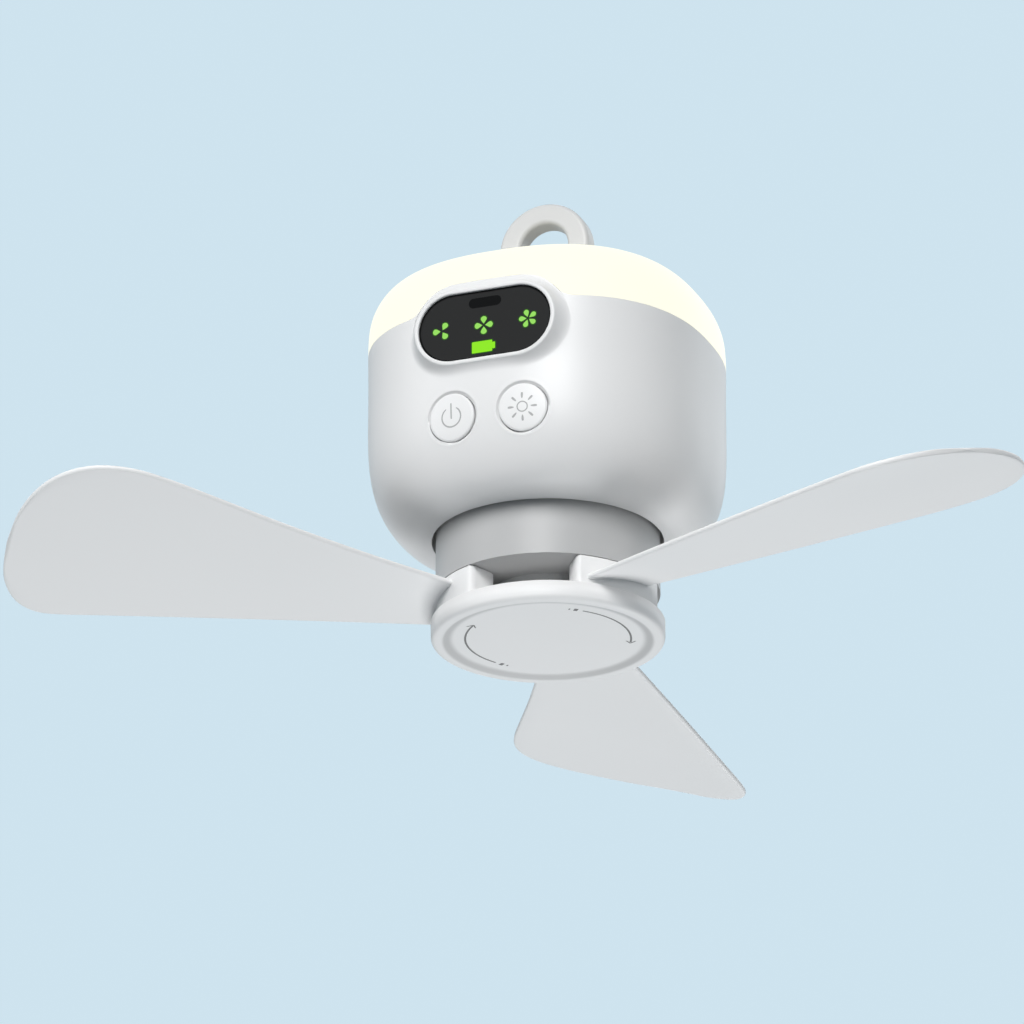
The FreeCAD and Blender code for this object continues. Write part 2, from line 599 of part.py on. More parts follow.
def pillar_places():
    front = SEAT_FRONT + PILLAR_RADIUS
    rear = SEAT_REAR - PILLAR_RADIUS
    side = SEAT_HALF_WIDTH - PILLAR_RADIUS
    return [(x, y) for x in (-side, side) for y in (front, rear)]


# Lamp

def lamp_plate():
    plate = straight_body(WALL + SEAM_GAP + TONGUE_THICKNESS + FIT_CLEARANCE, LEDGE_TOP, LAMP_PLATE_TOP)
    plate = plate.cut(display_bay())
    for x, y in lamp_post_places() + pillar_places():
        plate = plate.cut(screw_hole(x, y, LEDGE_TOP, LAMP_PLATE_TOP))
    return plate


def lamp_led_board():
    board = ring(LED_RING_OUTER, LED_RING_INNER, LAMP_PLATE_TOP, LAMP_PLATE_TOP + LED_BOARD_THICKNESS)
    for x, y in pillar_places():
        board = board.cut(cylinder(PILLAR_RADIUS + FIT_CLEARANCE, LAMP_PLATE_TOP,
                                   LAMP_PLATE_TOP + LED_BOARD_THICKNESS, x, y))
    return board


def lamp_leds():
    bottom = LAMP_PLATE_TOP + LED_BOARD_THICKNESS
    middle = (LED_RING_OUTER + LED_RING_INNER) / 2
    half = LED_SIZE / 2
    leds = []
    for k in range(LED_COUNT):
        led = block(middle - half, middle + half, -half, half, bottom, bottom + LED_THICKNESS)
        led.rotate(Vector(0, 0, 0), Vector(0, 0, 1), 360.0 * (k + 0.5) / LED_COUNT)
        leds.append(led)
    return Part.makeCompound(leds)


# Display and buttons

def display_window():
    slot = pill(0, WINDOW_FRONT, WINDOW_BACK, SENSOR_SLOT_LENGTH, SENSOR_SLOT_HEIGHT,
                WINDOW_CENTRE_HEIGHT + SENSOR_SLOT_RISE)
    return pill(0, WINDOW_FRONT, WINDOW_BACK).cut(slot)


def sensor_lens():
    return pill(-FIT_CLEARANCE / 3, WINDOW_FRONT + WINDOW_THICKNESS / 2, WINDOW_BACK,
                SENSOR_SLOT_LENGTH, SENSOR_SLOT_HEIGHT, WINDOW_CENTRE_HEIGHT + SENSOR_SLOT_RISE)


def icon_places():
    return [(x, WINDOW_CENTRE_HEIGHT) for x in (-ICON_SPACING, 0.0, ICON_SPACING)]


def battery_icon_height():
    return WINDOW_CENTRE_HEIGHT - BATTERY_ICON_DROP


def display_mask():
    mask = pill(-WINDOW_LEDGE - FIT_CLEARANCE, WINDOW_BACK, MASK_BACK)
    for x, z in icon_places():
        mask = mask.cut(cylinder_y(ICON_RADIUS, WINDOW_BACK, MASK_BACK, x, z))
    low = battery_icon_height() - BATTERY_ICON_HEIGHT / 2
    return mask.cut(block(-BATTERY_ICON_WIDTH / 2, BATTERY_ICON_WIDTH / 2, WINDOW_BACK, MASK_BACK,
                          low, low + BATTERY_ICON_HEIGHT))


def display_board():
    board = pill(-WINDOW_LEDGE - FIT_CLEARANCE, MASK_BACK, MASK_BACK + BOARD_THICKNESS)
    header = block(-ICON_SPACING, ICON_SPACING, MASK_BACK + BOARD_THICKNESS, CONTROL_FRONT,
                   WINDOW_CENTRE_HEIGHT - BOARD_THICKNESS, WINDOW_CENTRE_HEIGHT + BOARD_THICKNESS)
    return joined([board, header])


def display_leds():
    half = DISPLAY_LED_SIZE / 2
    front = MASK_BACK - DISPLAY_LED_THICKNESS
    places = icon_places() + [(0.0, battery_icon_height())]
    return Part.makeCompound([block(x - half, x + half, front, MASK_BACK, z - half, z + half)
                              for x, z in places])


def button(outer, x):
    # The face follows the body's curve, and a flange behind the wall keeps it in.
    stem = cylinder_y(BUTTON_RADIUS, -BODY_WIDTH, BUTTON_BACK, x, BUTTON_HEIGHT).common(outer)
    flange = cylinder_y(BUTTON_RADIUS + BUTTON_FLANGE, BUTTON_FLANGE_FRONT, BUTTON_BACK, x, BUTTON_HEIGHT)
    return joined([stem, flange])


def switch_front():
    return CONTROL_FRONT - SWITCH_BODY


def plunger(x):
    return cylinder_y(PLUNGER_RADIUS, BUTTON_BACK, switch_front() + PLUNGER_DEPTH - BUTTON_TRAVEL,
                      x, BUTTON_HEIGHT)


def switch(x):
    half = SWITCH_SIZE / 2
    body = block(x - half, x + half, switch_front(), CONTROL_FRONT,
                 BUTTON_HEIGHT - half, BUTTON_HEIGHT + half)
    return body.cut(cylinder_y(PLUNGER_RADIUS + SCREW_CLEARANCE, switch_front(),
                               switch_front() + PLUNGER_DEPTH + SCREW_CLEARANCE, x, BUTTON_HEIGHT))


def control_board():
    top = WINDOW_CENTRE_HEIGHT + WINDOW_HEIGHT / 2 - WINDOW_LEDGE
    board = block(-CONTROL_BOARD_WIDTH / 2, CONTROL_BOARD_WIDTH / 2, CONTROL_FRONT, CONTROL_BACK,
                  CONTROL_BOARD_FOOT, top)
    for x, z in control_boss_places():
        board = board.cut(cylinder_y(SCREW_RADIUS + SCREW_CLEARANCE, CONTROL_FRONT, CONTROL_BACK, x, z))
    return board


def control_board_screws():
    screws = []
    for x, z in control_boss_places():
        tip = CONTROL_FRONT - BOARD_SCREW_GRIP + SCREW_CLEARANCE
        shank = cylinder_y(SCREW_RADIUS, tip, CONTROL_BACK, x, z)
        head = cylinder_y(SCREW_HEAD_RADIUS, CONTROL_BACK, CONTROL_BACK + SCREW_HEAD_HEIGHT, x, z)
        screws.append(joined([shank, head]))
    return Part.makeCompound(screws)


# Batteries, main board and charging socket

def cell_rows():
    first = CELL_ROW_SHIFT - CELL_SPACING * (CELL_COUNT - 1) / 2
    return [first + CELL_SPACING * k for k in range(CELL_COUNT)]


def battery_holder(inner):
    end = CELL_LENGTH / 2 + HOLDER_CLEARANCE + TAB_THICKNESS
    front = cell_rows()[0] - CELL_RADIUS - HOLDER_CLEARANCE
    rear = cell_rows()[-1] + CELL_RADIUS + HOLDER_CLEARANCE
    tray = block(-end - HOLDER_END, end + HOLDER_END, front, rear, HOLDER_BOTTOM, MAIN_BOARD_BOTTOM)
    tray = tray.cut(block(-end, end, front, rear, CELL_HEIGHT, MAIN_BOARD_BOTTOM))
    for y in cell_rows():
        trough = Part.makeCylinder(CELL_RADIUS + HOLDER_CLEARANCE, 2 * end, Vector(-end, y, CELL_HEIGHT),
                                   Vector(1, 0, 0))
        tray = tray.cut(trough)
    for x, y in plate_boss_places():
        tray = tray.cut(cylinder(SCREW_HEAD_RADIUS + HOLDER_CLEARANCE, HOLDER_BOTTOM,
                                 MAIN_BOARD_BOTTOM, x, y))
    for x, y in circle_places(BASE_SCREW_COUNT, BASE_SCREW_CIRCLE):
        tray = tray.cut(cylinder(SCREW_HEAD_RADIUS + HOLDER_CLEARANCE, HOLDER_BOTTOM, CELL_HEIGHT, x, y))
    tray = tray.cut(cylinder(CLIP_RADIUS, HOLDER_BOTTOM, HOLDER_BOTTOM + SHAFT_TOP_RISE))
    return tray.common(inner)


def battery_cells():
    start = -CELL_LENGTH / 2
    return Part.makeCompound([
        Part.makeCylinder(CELL_RADIUS, CELL_LENGTH, Vector(start, y, CELL_HEIGHT), Vector(1, 0, 0))
        for y in cell_rows()])


def battery_tabs():
    tabs = []
    for side in (-1, 1):
        near = side * CELL_LENGTH / 2
        far = near + side * TAB_THICKNESS
        for pair in (0, 2):
            low = cell_rows()[pair] - CELL_RADIUS / 2
            high = cell_rows()[pair + 1] + CELL_RADIUS / 2
            tabs.append(block(min(near, far), max(near, far), low, high,
                              CELL_HEIGHT, CELL_HEIGHT + CELL_RADIUS / 2))
    return Part.makeCompound(tabs)


def main_board(inner):
    half = MAIN_BOARD_WIDTH / 2
    board = block(-half, half, MAIN_BOARD_FRONT, MAIN_BOARD_REAR, MAIN_BOARD_BOTTOM, MAIN_BOARD_TOP)
    ears = block(-half - HOLDER_END, half + HOLDER_END, MAIN_BOARD_FRONT, cell_rows()[-1],
                 MAIN_BOARD_BOTTOM, MAIN_BOARD_TOP)
    return joined([board, ears]).common(inner)


def charging_socket():
    front = SOCKET_REAR - SOCKET_LENGTH
    body = pill(0, front, SOCKET_REAR, SOCKET_WIDTH, SOCKET_HEIGHT, SOCKET_CENTRE_HEIGHT)
    mouth = pill(-SOCKET_WALL, front + SOCKET_WALL * 4, SOCKET_REAR, SOCKET_WIDTH, SOCKET_HEIGHT,
                 SOCKET_CENTRE_HEIGHT)
    half = SOCKET_TONGUE / 2
    reach = SOCKET_WIDTH / 2 - SOCKET_HEIGHT / 2
    tongue = block(-reach, reach, front, SOCKET_REAR - SOCKET_SINK, SOCKET_CENTRE_HEIGHT - half,
                   SOCKET_CENTRE_HEIGHT + half)
    return joined([body.cut(mouth), tongue])


# Motor

def motor_plate(inner):
    plate = cylinder(MOTOR_PLATE_RADIUS, PLATE_BOTTOM, PLATE_TOP).common(inner)
    plate = plate.cut(cylinder(MOTOR_TUBE_RADIUS, PLATE_BOTTOM, PLATE_TOP))
    for x, y in plate_boss_places() + circle_places(BASE_SCREW_COUNT, BASE_SCREW_CIRCLE):
        plate = plate.cut(screw_hole(x, y, PLATE_BOTTOM, PLATE_TOP))
    return plate


def motor_base():
    tube = cylinder(MOTOR_TUBE_RADIUS, MOTOR_TUBE_BOTTOM, PLATE_BOTTOM)
    flange = cylinder(MOTOR_FLANGE_RADIUS, MOTOR_FLANGE_BOTTOM, PLATE_BOTTOM)
    base = joined([tube, flange]).cut(cylinder(BEARING_RADIUS, MOTOR_TUBE_BOTTOM, PLATE_BOTTOM))
    for x, y in circle_places(BASE_SCREW_COUNT, BASE_SCREW_CIRCLE):
        base = base.cut(screw_hole(x, y, MOTOR_FLANGE_BOTTOM, PLATE_BOTTOM))
    return base


def motor_base_screws():
    tip = MOTOR_FLANGE_BOTTOM
    return Part.makeCompound([screw_down(x, y, tip, PLATE_TOP + SCREW_HEAD_HEIGHT)
                              for x, y in circle_places(BASE_SCREW_COUNT, BASE_SCREW_CIRCLE)])


def motor_plate_screws():
    tip = PLATE_BOTTOM - PLATE_SCREW_GRIP + SCREW_CLEARANCE
    return Part.makeCompound([screw_down(x, y, tip, PLATE_TOP + SCREW_HEAD_HEIGHT)
                              for x, y in plate_boss_places()])


def bearing(low):
    return ring(BEARING_RADIUS, SHAFT_RADIUS + RUNNING_CLEARANCE, low, low + BEARING_WIDTH)


def stator_tooth(k):
    inner = MOTOR_TUBE_RADIUS + STATOR_RING / 2
    half = TOOTH_WIDTH / 2
    tooth = block(inner, STATOR_RADIUS - TOOTH_SHOE / 2, -half, half, STATOR_BOTTOM, STATOR_TOP)
    shoe = Part.makeCylinder(STATOR_RADIUS, STATOR_HEIGHT, Vector(0, 0, STATOR_BOTTOM),
                             Vector(0, 0, 1), TOOTH_SHOE_ANGLE)
    shoe = shoe.cut(cylinder(STATOR_RADIUS - TOOTH_SHOE, STATOR_BOTTOM, STATOR_TOP))
    shoe.rotate(Vector(0, 0, 0), Vector(0, 0, 1), -TOOTH_SHOE_ANGLE / 2)
    whole = tooth.fuse(shoe)
    whole.rotate(Vector(0, 0, 0), Vector(0, 0, 1), 360.0 * k / TOOTH_COUNT)
    return whole


def stator_core():
    yoke = ring(MOTOR_TUBE_RADIUS + STATOR_RING, MOTOR_TUBE_RADIUS, STATOR_BOTTOM, STATOR_TOP)
    return joined([yoke] + [stator_tooth(k) for k in range(TOOTH_COUNT)])


def stator_windings():
    inner = MOTOR_TUBE_RADIUS + STATOR_RING + COIL_CLEARANCE * 4
    outer = STATOR_RADIUS - TOOTH_SHOE - COIL_CLEARANCE * 4
    half = TOOTH_WIDTH / 2 + COIL_CLEARANCE
    coils = []
    for k in range(TOOTH_COUNT):
        low = STATOR_BOTTOM - COIL_CLEARANCE
        high = STATOR_TOP + COIL_CLEARANCE
        coil = block(inner, outer, -half - COIL_THICKNESS, half + COIL_THICKNESS,
                     low - COIL_THICKNESS, high + COIL_THICKNESS)
        coil = coil.cut(block(inner, outer, -half, half, low, high))
        coil.rotate(Vector(0, 0, 0), Vector(0, 0, 1), 360.0 * k / TOOTH_COUNT)
        coils.append(coil)
    return Part.makeCompound(coils)


def rotor_bell():
    bell = cylinder(BELL_RADIUS, BELL_BOTTOM, BELL_TOP)
    bell = bell.cut(cylinder(MAGNET_OUTER, BELL_BOTTOM + BELL_FLOOR, BELL_TOP))
    bell = bell.cut(cylinder(SHAFT_RADIUS, BELL_BOTTOM, BELL_TOP))
    for x, y in circle_places(HUB_SCREW_COUNT, HUB_SCREW_CIRCLE):
        bell = bell.cut(screw_hole(x, y, BELL_BOTTOM, BELL_BOTTOM + BELL_FLOOR))
    return bell


def magnet_ring():
    return ring(MAGNET_OUTER, MAGNET_INNER, STATOR_BOTTOM - BELL_TOP_GAP, STATOR_TOP + BELL_TOP_GAP)


def motor_shaft():
    return cylinder(SHAFT_RADIUS, NECK_BOTTOM_HEIGHT - SHAFT_BOTTOM_DROP, PLATE_BOTTOM + SHAFT_TOP_RISE)


def shaft_clip():
    low = PLATE_BOTTOM + RUNNING_CLEARANCE
    return ring(CLIP_RADIUS, SHAFT_RADIUS, low, low + CLIP_THICKNESS)


# Hub, blades and lock cap

def rotor_hub():
    cup = cylinder(NECK_RADIUS, NECK_BOTTOM_HEIGHT, HUB_TOP)
    cup = cup.cut(cylinder(NECK_RADIUS - NECK_WALL, HUB_FLOOR_TOP, HUB_TOP))
    boss = cylinder(HUB_BOSS_RADIUS, NECK_BOTTOM_HEIGHT, BELL_BOTTOM)
    spigot = ring(SPIGOT_RADIUS, SPIGOT_RADIUS - SPIGOT_WALL, spigot_bottom(), HUB_FLOOR_TOP)
    lugs = [lug(k, SPIGOT_RADIUS - SPIGOT_WALL / 2, SPIGOT_RADIUS + LUG_REACH,
                spigot_bottom(), spigot_bottom() + LUG_HEIGHT) for k in range(LUG_COUNT)]
    pegs = [cylinder(PEG_RADIUS, NECK_BOTTOM_HEIGHT - PEG_DEPTH, HUB_FLOOR_TOP, x, y)
            for x, y in peg_places()]
    hub = joined([cup, boss, spigot] + lugs + pegs)
    hub = hub.cut(cylinder(SHAFT_RADIUS, 0, BELL_BOTTOM))
    for x, y in circle_places(HUB_SCREW_COUNT, HUB_SCREW_CIRCLE):
        hub = hub.cut(screw_hole(x, y, NECK_BOTTOM_HEIGHT, BELL_BOTTOM))
    return hub


def spigot_bottom():
    return NECK_BOTTOM_HEIGHT - SPIGOT_DEPTH


def lug(k, inner, outer, low, high):
    piece = Part.makeCylinder(outer, high - low, Vector(0, 0, low), Vector(0, 0, 1), LUG_ANGLE)
    piece = piece.cut(cylinder(inner, low, high))
    piece.rotate(Vector(0, 0, 0), Vector(0, 0, 1), 360.0 * k / LUG_COUNT - LUG_ANGLE / 2)
    return piece


def hub_screws():
    low = NECK_BOTTOM_HEIGHT - SCREW_HEAD_HEIGHT
    return Part.makeCompound([screw_up(x, y, low, BELL_BOTTOM + BELL_FLOOR)
                              for x, y in circle_places(HUB_SCREW_COUNT, HUB_SCREW_CIRCLE)])


def peg_places():
    places = []
    for k in range(BLADE_COUNT):
        for side in (-1, 1):
            angle = FIRST_BLADE_ANGLE + 360.0 * k / BLADE_COUNT + side * PEG_ANGLE
            places += circle_places(1, (ROOT_INNER_RADIUS + NECK_RADIUS) / 2, angle)
    return places


def lock_cap():
    # The cap's pocket takes the spigot, and its inward lugs lock over the spigot's lugs.
    disc = cylinder(CAP_RADIUS, 0, CAP_THICKNESS)
    edge = [e for e in disc.Edges if abs(e.BoundBox.ZMax) < 1e-6 and abs(e.BoundBox.ZMin) < 1e-6]
    disc = disc.makeFillet(CAP_EDGE_ROUND, edge)
    collar_inner = SPIGOT_RADIUS + LUG_REACH + BAYONET_CLEARANCE
    collar_top = spigot_bottom() + 2 * LUG_HEIGHT + LUG_GAP
    collar = cylinder(collar_inner + COLLAR_WALL, CAP_FACE_DEPTH, collar_top)
    cap = joined([disc, collar])
    cap = cap.cut(cylinder(CAP_FACE_RADIUS, 0, CAP_FACE_DEPTH))
    cap = cap.cut(cylinder(collar_inner, CAP_FACE_DEPTH + CAP_POCKET_FLOOR, collar_top))
    lugs = [lug(k, SPIGOT_RADIUS + BAYONET_CLEARANCE, collar_inner + COLLAR_WALL / 2,
                spigot_bottom() + LUG_HEIGHT + LUG_GAP, collar_top) for k in range(LUG_COUNT)]
    return joined([cap] + lugs)


def blade_pitch(u):
    return math.radians(BLADE_PITCH + BLADE_TWIST_PER_MM * (u - BLADE_PITCH_RADIUS))


def blade_sheet():
    # A thin cambered and twisted sheet, wider than the blade, that the outline trims.
    half_width = 2 * BLADE_CAMBER_HALF_WIDTH
    wires = []
    reach = max(u for u, v in BLADE_EDGE) + BLADE_THICKNESS * 2
    start = BLADE_ROOT_REACH - BLADE_THICKNESS
    for step in range(6):
        u = start + (reach - start) * step / 5
        pitch = blade_pitch(u)

        def spot(v, side):
            w = BLADE_CAMBER * ((v - BLADE_CAMBER_CENTRE) / BLADE_CAMBER_HALF_WIDTH) ** 2
            w += side * BLADE_THICKNESS / 2
            return Vector(u, v * math.cos(pitch) - w * math.sin(pitch),
                          BLADE_HEIGHT + v * math.sin(pitch) + w * math.cos(pitch))

        left = BLADE_CAMBER_CENTRE - half_width / 2
        right = BLADE_CAMBER_CENTRE + half_width / 2
        edges = [
            Part.Arc(spot(left, -1), spot(BLADE_CAMBER_CENTRE, -1), spot(right, -1)).toShape(),
            Part.LineSegment(spot(right, -1), spot(right, 1)).toShape(),
            Part.Arc(spot(right, 1), spot(BLADE_CAMBER_CENTRE, 1), spot(left, 1)).toShape(),
            Part.LineSegment(spot(left, 1), spot(left, -1)).toShape(),
        ]
        wires.append(Part.Wire(edges))
    return Part.makeLoft(wires, True, False)


def blade_outline():
    low = -CAP_RADIUS
    root_lead = Vector(BLADE_ROOT_REACH, BLADE_LEADING_ROOT_OFFSET, low)
    root_trail = Vector(BLADE_ROOT_REACH, BLADE_TRAILING_ROOT_OFFSET, low)
    tip_trail = Vector(BLADE_TRAILING_TIP[0], BLADE_TRAILING_TIP[1], low)
    points = [root_lead] + [Vector(u, v, low) for u, v in BLADE_EDGE] + [tip_trail]
    curve = Part.BSplineCurve()
    curve.interpolate(Points=points)
    edges = [curve.toShape(), Part.LineSegment(tip_trail, root_trail).toShape(),
             Part.LineSegment(root_trail, root_lead).toShape()]
    return Part.Face(Part.Wire(edges)).extrude(Vector(0, 0, 4 * CAP_RADIUS))


def blade_root():
    low = CAP_THICKNESS + ROOT_END_GAP
    high = NECK_BOTTOM_HEIGHT - ROOT_END_GAP / 2
    sector = Part.makeCylinder(NECK_RADIUS, high - low, Vector(0, 0, low), Vector(0, 0, 1),
                               ROOT_LEADING_ANGLE + ROOT_TRAILING_ANGLE)
    sector = sector.cut(cylinder(ROOT_INNER_RADIUS, low, high))
    sector.rotate(Vector(0, 0, 0), Vector(0, 0, 1), -ROOT_TRAILING_ANGLE)
    upright = [e for e in sector.Edges if e.BoundBox.ZLength > (high - low) * 0.9
               and abs(e.Vertexes[0].Z - e.Vertexes[-1].Z) > 1e-6]
    return sector.makeFillet(ROOT_EDGE_ROUND, upright)


def blade(k):
    plain = joined([blade_sheet().common(blade_outline()), blade_root()])
    plain.rotate(Vector(0, 0, 0), Vector(0, 0, 1), FIRST_BLADE_ANGLE + 360.0 * k / BLADE_COUNT)
    for x, y in peg_places()[2 * k:2 * k + 2]:
        plain = plain.cut(cylinder(PEG_RADIUS + PEG_CLEARANCE, NECK_BOTTOM_HEIGHT - PEG_DEPTH - PEG_CLEARANCE,
                                   NECK_BOTTOM_HEIGHT, x, y))
    return plain


def screws_through_lamp_plate():
    low = LEDGE_TOP - SCREW_HEAD_HEIGHT
    tip = LAMP_PLATE_TOP + PILLAR_SCREW_GRIP - SCREW_CLEARANCE
    return Part.makeCompound([screw_up(x, y, low, tip) for x, y in pillar_places()])


def lamp_plate_screws():
    tip = LEDGE_TOP - PLATE_SCREW_GRIP + SCREW_CLEARANCE
    return Part.makeCompound([screw_down(x, y, tip, LAMP_PLATE_TOP + SCREW_HEAD_HEIGHT)
                              for x, y in lamp_post_places()])


def build():
    outer = body_solid(0.0)
    inner = body_solid(WALL)
    room = body_solid(WALL + HOLDER_CLEARANCE * 2)
    parts = {
        "housing_shell": housing_shell(outer, inner),
        "lamp_cover": lamp_cover(outer, inner),
        "loop_seat": loop_seat(),
        "loop_pin": loop_pin(),
        "hang_loop": hang_loop(),
        "lamp_plate": lamp_plate(),
        "lamp_plate_screws": lamp_plate_screws(),
        "pillar_screws": screws_through_lamp_plate(),
        "lamp_led_board": lamp_led_board(),
        "lamp_leds": lamp_leds(),
        "display_window": display_window(),
        "sensor_lens": sensor_lens(),
        "display_mask": display_mask(),
        "display_board": display_board(),
        "display_leds": display_leds(),
        "power_button": button(outer, -BUTTON_X),
        "light_button": button(outer, BUTTON_X),
        "power_plunger": plunger(-BUTTON_X),
        "light_plunger": plunger(BUTTON_X),
        "power_switch": switch(-BUTTON_X),
        "light_switch": switch(BUTTON_X),
        "control_board": control_board(),
        "control_board_screws": control_board_screws(),
        "battery_holder": battery_holder(room),
        "battery_cells": battery_cells(),
        "battery_tabs": battery_tabs(),
        "main_board": main_board(room),
        "charging_socket": charging_socket(),
        "motor_plate": motor_plate(room),
        "motor_plate_screws": motor_plate_screws(),
        "motor_base": motor_base(),
        "motor_base_screws": motor_base_screws(),
        "upper_bearing": bearing(PLATE_BOTTOM - BEARING_WIDTH),
        "lower_bearing": bearing(MOTOR_TUBE_BOTTOM),
        "stator_core": stator_core(),
        "stator_windings": stator_windings(),
        "rotor_bell": rotor_bell(),
        "magnet_ring": magnet_ring(),
        "motor_shaft": motor_shaft(),
        "shaft_clip": shaft_clip(),
        "rotor_hub": rotor_hub(),
        "hub_screws": hub_screws(),
        "lock_cap": lock_cap(),
    }
    for k in range(BLADE_COUNT):
        parts["blade_%d" % (k + 1)] = blade(k)
    return parts


os.makedirs("parts", exist_ok=True)
for node, shape in build().items():
    placed = shape.copy()
    placed.translate(Vector(0, 0, -EYE_HEIGHT))
    placed.exportStep("parts/%s.step" % node)
    print(node, len(placed.Solids), "valid" if placed.isValid() else "NOT VALID", round(placed.Volume, 1))
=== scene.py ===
import json
import math

import bmesh
import bpy
from mathutils import Matrix, Vector
from mathutils.bvhtree import BVHTree


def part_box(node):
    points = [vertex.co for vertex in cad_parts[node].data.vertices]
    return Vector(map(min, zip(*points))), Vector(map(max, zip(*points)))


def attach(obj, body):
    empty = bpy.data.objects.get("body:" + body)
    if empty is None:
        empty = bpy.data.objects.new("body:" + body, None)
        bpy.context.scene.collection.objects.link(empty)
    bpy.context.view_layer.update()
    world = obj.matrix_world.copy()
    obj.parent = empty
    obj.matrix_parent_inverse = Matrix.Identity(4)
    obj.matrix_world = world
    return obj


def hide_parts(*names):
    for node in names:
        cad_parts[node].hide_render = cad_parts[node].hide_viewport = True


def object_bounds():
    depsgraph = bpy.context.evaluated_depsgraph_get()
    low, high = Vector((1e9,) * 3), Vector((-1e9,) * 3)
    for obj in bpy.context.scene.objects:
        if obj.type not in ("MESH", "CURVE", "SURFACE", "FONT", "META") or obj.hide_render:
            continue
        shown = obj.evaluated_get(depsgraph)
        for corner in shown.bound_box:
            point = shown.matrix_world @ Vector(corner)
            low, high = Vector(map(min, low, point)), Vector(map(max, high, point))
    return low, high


# A hanging camping fan with a lit lamp cover, seen from below and to the right of its display.
# Sizes are in millimetres, and heights are measured up from the lock cap's lower face.
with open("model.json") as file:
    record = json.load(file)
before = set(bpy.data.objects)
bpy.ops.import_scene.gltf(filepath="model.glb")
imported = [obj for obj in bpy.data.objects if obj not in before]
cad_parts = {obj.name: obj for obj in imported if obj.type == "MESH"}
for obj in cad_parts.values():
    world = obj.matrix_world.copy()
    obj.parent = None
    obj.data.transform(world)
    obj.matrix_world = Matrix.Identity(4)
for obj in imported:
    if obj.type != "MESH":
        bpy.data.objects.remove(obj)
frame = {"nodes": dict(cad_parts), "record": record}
cad_low, cad_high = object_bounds()
MM = 0.001
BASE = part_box("lock_cap")[0].z
FORWARD = Vector((0, -1, 0))
DOWN = Vector((0, 0, -1))

# Body
HALF_WIDTH = 55.7
SQUARENESS = 2.45
RIM_HEIGHT = 34.1
RIM_RADIUS = 36.0
SIDE_FOOT = 71.5
BOWL_FULLNESS = 2.86
SEAM_HEIGHT = 95.4
TOP_HEIGHT = 118.6
TOP_ROUND_WIDTH = 14.0
TOP_ROUND_HEIGHT = 18.1

# Display
WINDOW_REACH = 10.85
WINDOW_RADIUS = 11.5
WINDOW_HEIGHT = 87.6
GLASS_FRONT = -56.6
RIM_FRONT = -57.53
RIM_WIDTH = 1.5
RIM_FOOT_OUT = 1.53
RIM_FOOT_DEPTH = -57.12
TAB_REACH = 4.5
FREE_REACH = 5.2
BOSS_REAR = -48.0
ICON_SPACING = 14.6
ICON_HEIGHT = 87.2
MIDDLE_ICON_X = -0.4
LIT_LIFT = 0.04
HALO_LIFT = 0.02
BATTERY_DROP = 7.4
SENSOR_RISE = 7.6

# Buttons
BUTTON_X = 12.0
BUTTON_HEIGHT = 57.9
LIP_START = 9.0
SYMBOL_LIFT = 0.27
POWER_RADIUS = 3.3
POWER_GAP = math.radians(32)
SUN_RADIUS = 1.65
SUN_RAYS = 8
RAY_START = 2.75
RAY_LENGTH = 1.95

# Cap
ARROW_RADIUS = 26.5
ARROW_HEIGHT = 0.98
ARROW_HALF_WIDTH = 0.32

# Blades
FIRST_BLADE_ANGLE = -26.3
BLADE_HEIGHT = 11.9
BLADE_THICKNESS = 1.84
BLADE_END = 176.8
BLADE_STEPS = 64
BLADE_PITCH = 10.5
BLADE_TWIST = 0.064
PITCH_PLACE = 100.0
CAMBER = 3.2
CAMBER_MIDDLE = 20.0
CAMBER_REACH = 50.0
ROOT_LOW = 6.4
ROOT_HIGH = 16.1
ROOT_INNER = 25.0
ROOT_OUTER = 36.0
ROOT_TRAILING_ANGLE = 28.5
ROOT_LEADING_ANGLE = 34.5


def point(x, y, h):
    return Vector((x * MM, y * MM, BASE + h * MM))


def placed(spot):
    # A mesh point's place across, its depth and its height.
    return spot.x / MM, spot.y / MM, (spot.z - BASE) / MM


def front_depth(x, h):
    # How far forward the smooth body reaches at this width and height.
    fall = max(0.0, SIDE_FOOT - h) / (SIDE_FOOT - RIM_HEIGHT)
    width = RIM_RADIUS + (HALF_WIDTH - RIM_RADIUS) * (1 - fall ** BOWL_FULLNESS) ** (1 / BOWL_FULLNESS)
    rise = max(0.0, h - TOP_HEIGHT + TOP_ROUND_HEIGHT) / TOP_ROUND_HEIGHT
    width -= TOP_ROUND_WIDTH * (1 - math.sqrt(1 - rise * rise))
    power = 2 + (SQUARENESS - 2) * (1 - fall ** 5)
    return -width * (1 - (abs(x) / width) ** power) ** (1 / power)


def front_normal(x, h):
    step = 0.1
    across = (front_depth(x + step, h) - front_depth(x - step, h)) / (2 * step)
    up = (front_depth(x, h + step) - front_depth(x, h - step)) / (2 * step)
    return Vector((across, -1.0, up)).normalized()


def eased(a, b, t):
    # Rises from 0 at a to 1 at b, level at both ends.
    t = min(1.0, max(0.0, (t - a) / (b - a)))
    return t * t * (3 - 2 * t)


# Building helpers

def mesh_object(name, bm, surface):
    mesh = bpy.data.meshes.new(name)
    bm.to_mesh(mesh)
    bm.free()
    mesh.materials.append(surface)
    piece = bpy.data.objects.new(name, mesh)
    bpy.context.collection.objects.link(piece)
    return piece


def smooth_piece(name, bm, surface, sharp=40):
    for face in bm.faces:
        face.smooth = True
    piece = mesh_object(name, bm, surface)
    piece.data.set_sharp_from_angle(angle=math.radians(sharp))
    return piece


def copied(node):
    bm = bmesh.new()
    bm.from_mesh(frame["nodes"][node].data)
    bmesh.ops.remove_doubles(bm, verts=bm.verts[:], dist=1e-6)
    return bm


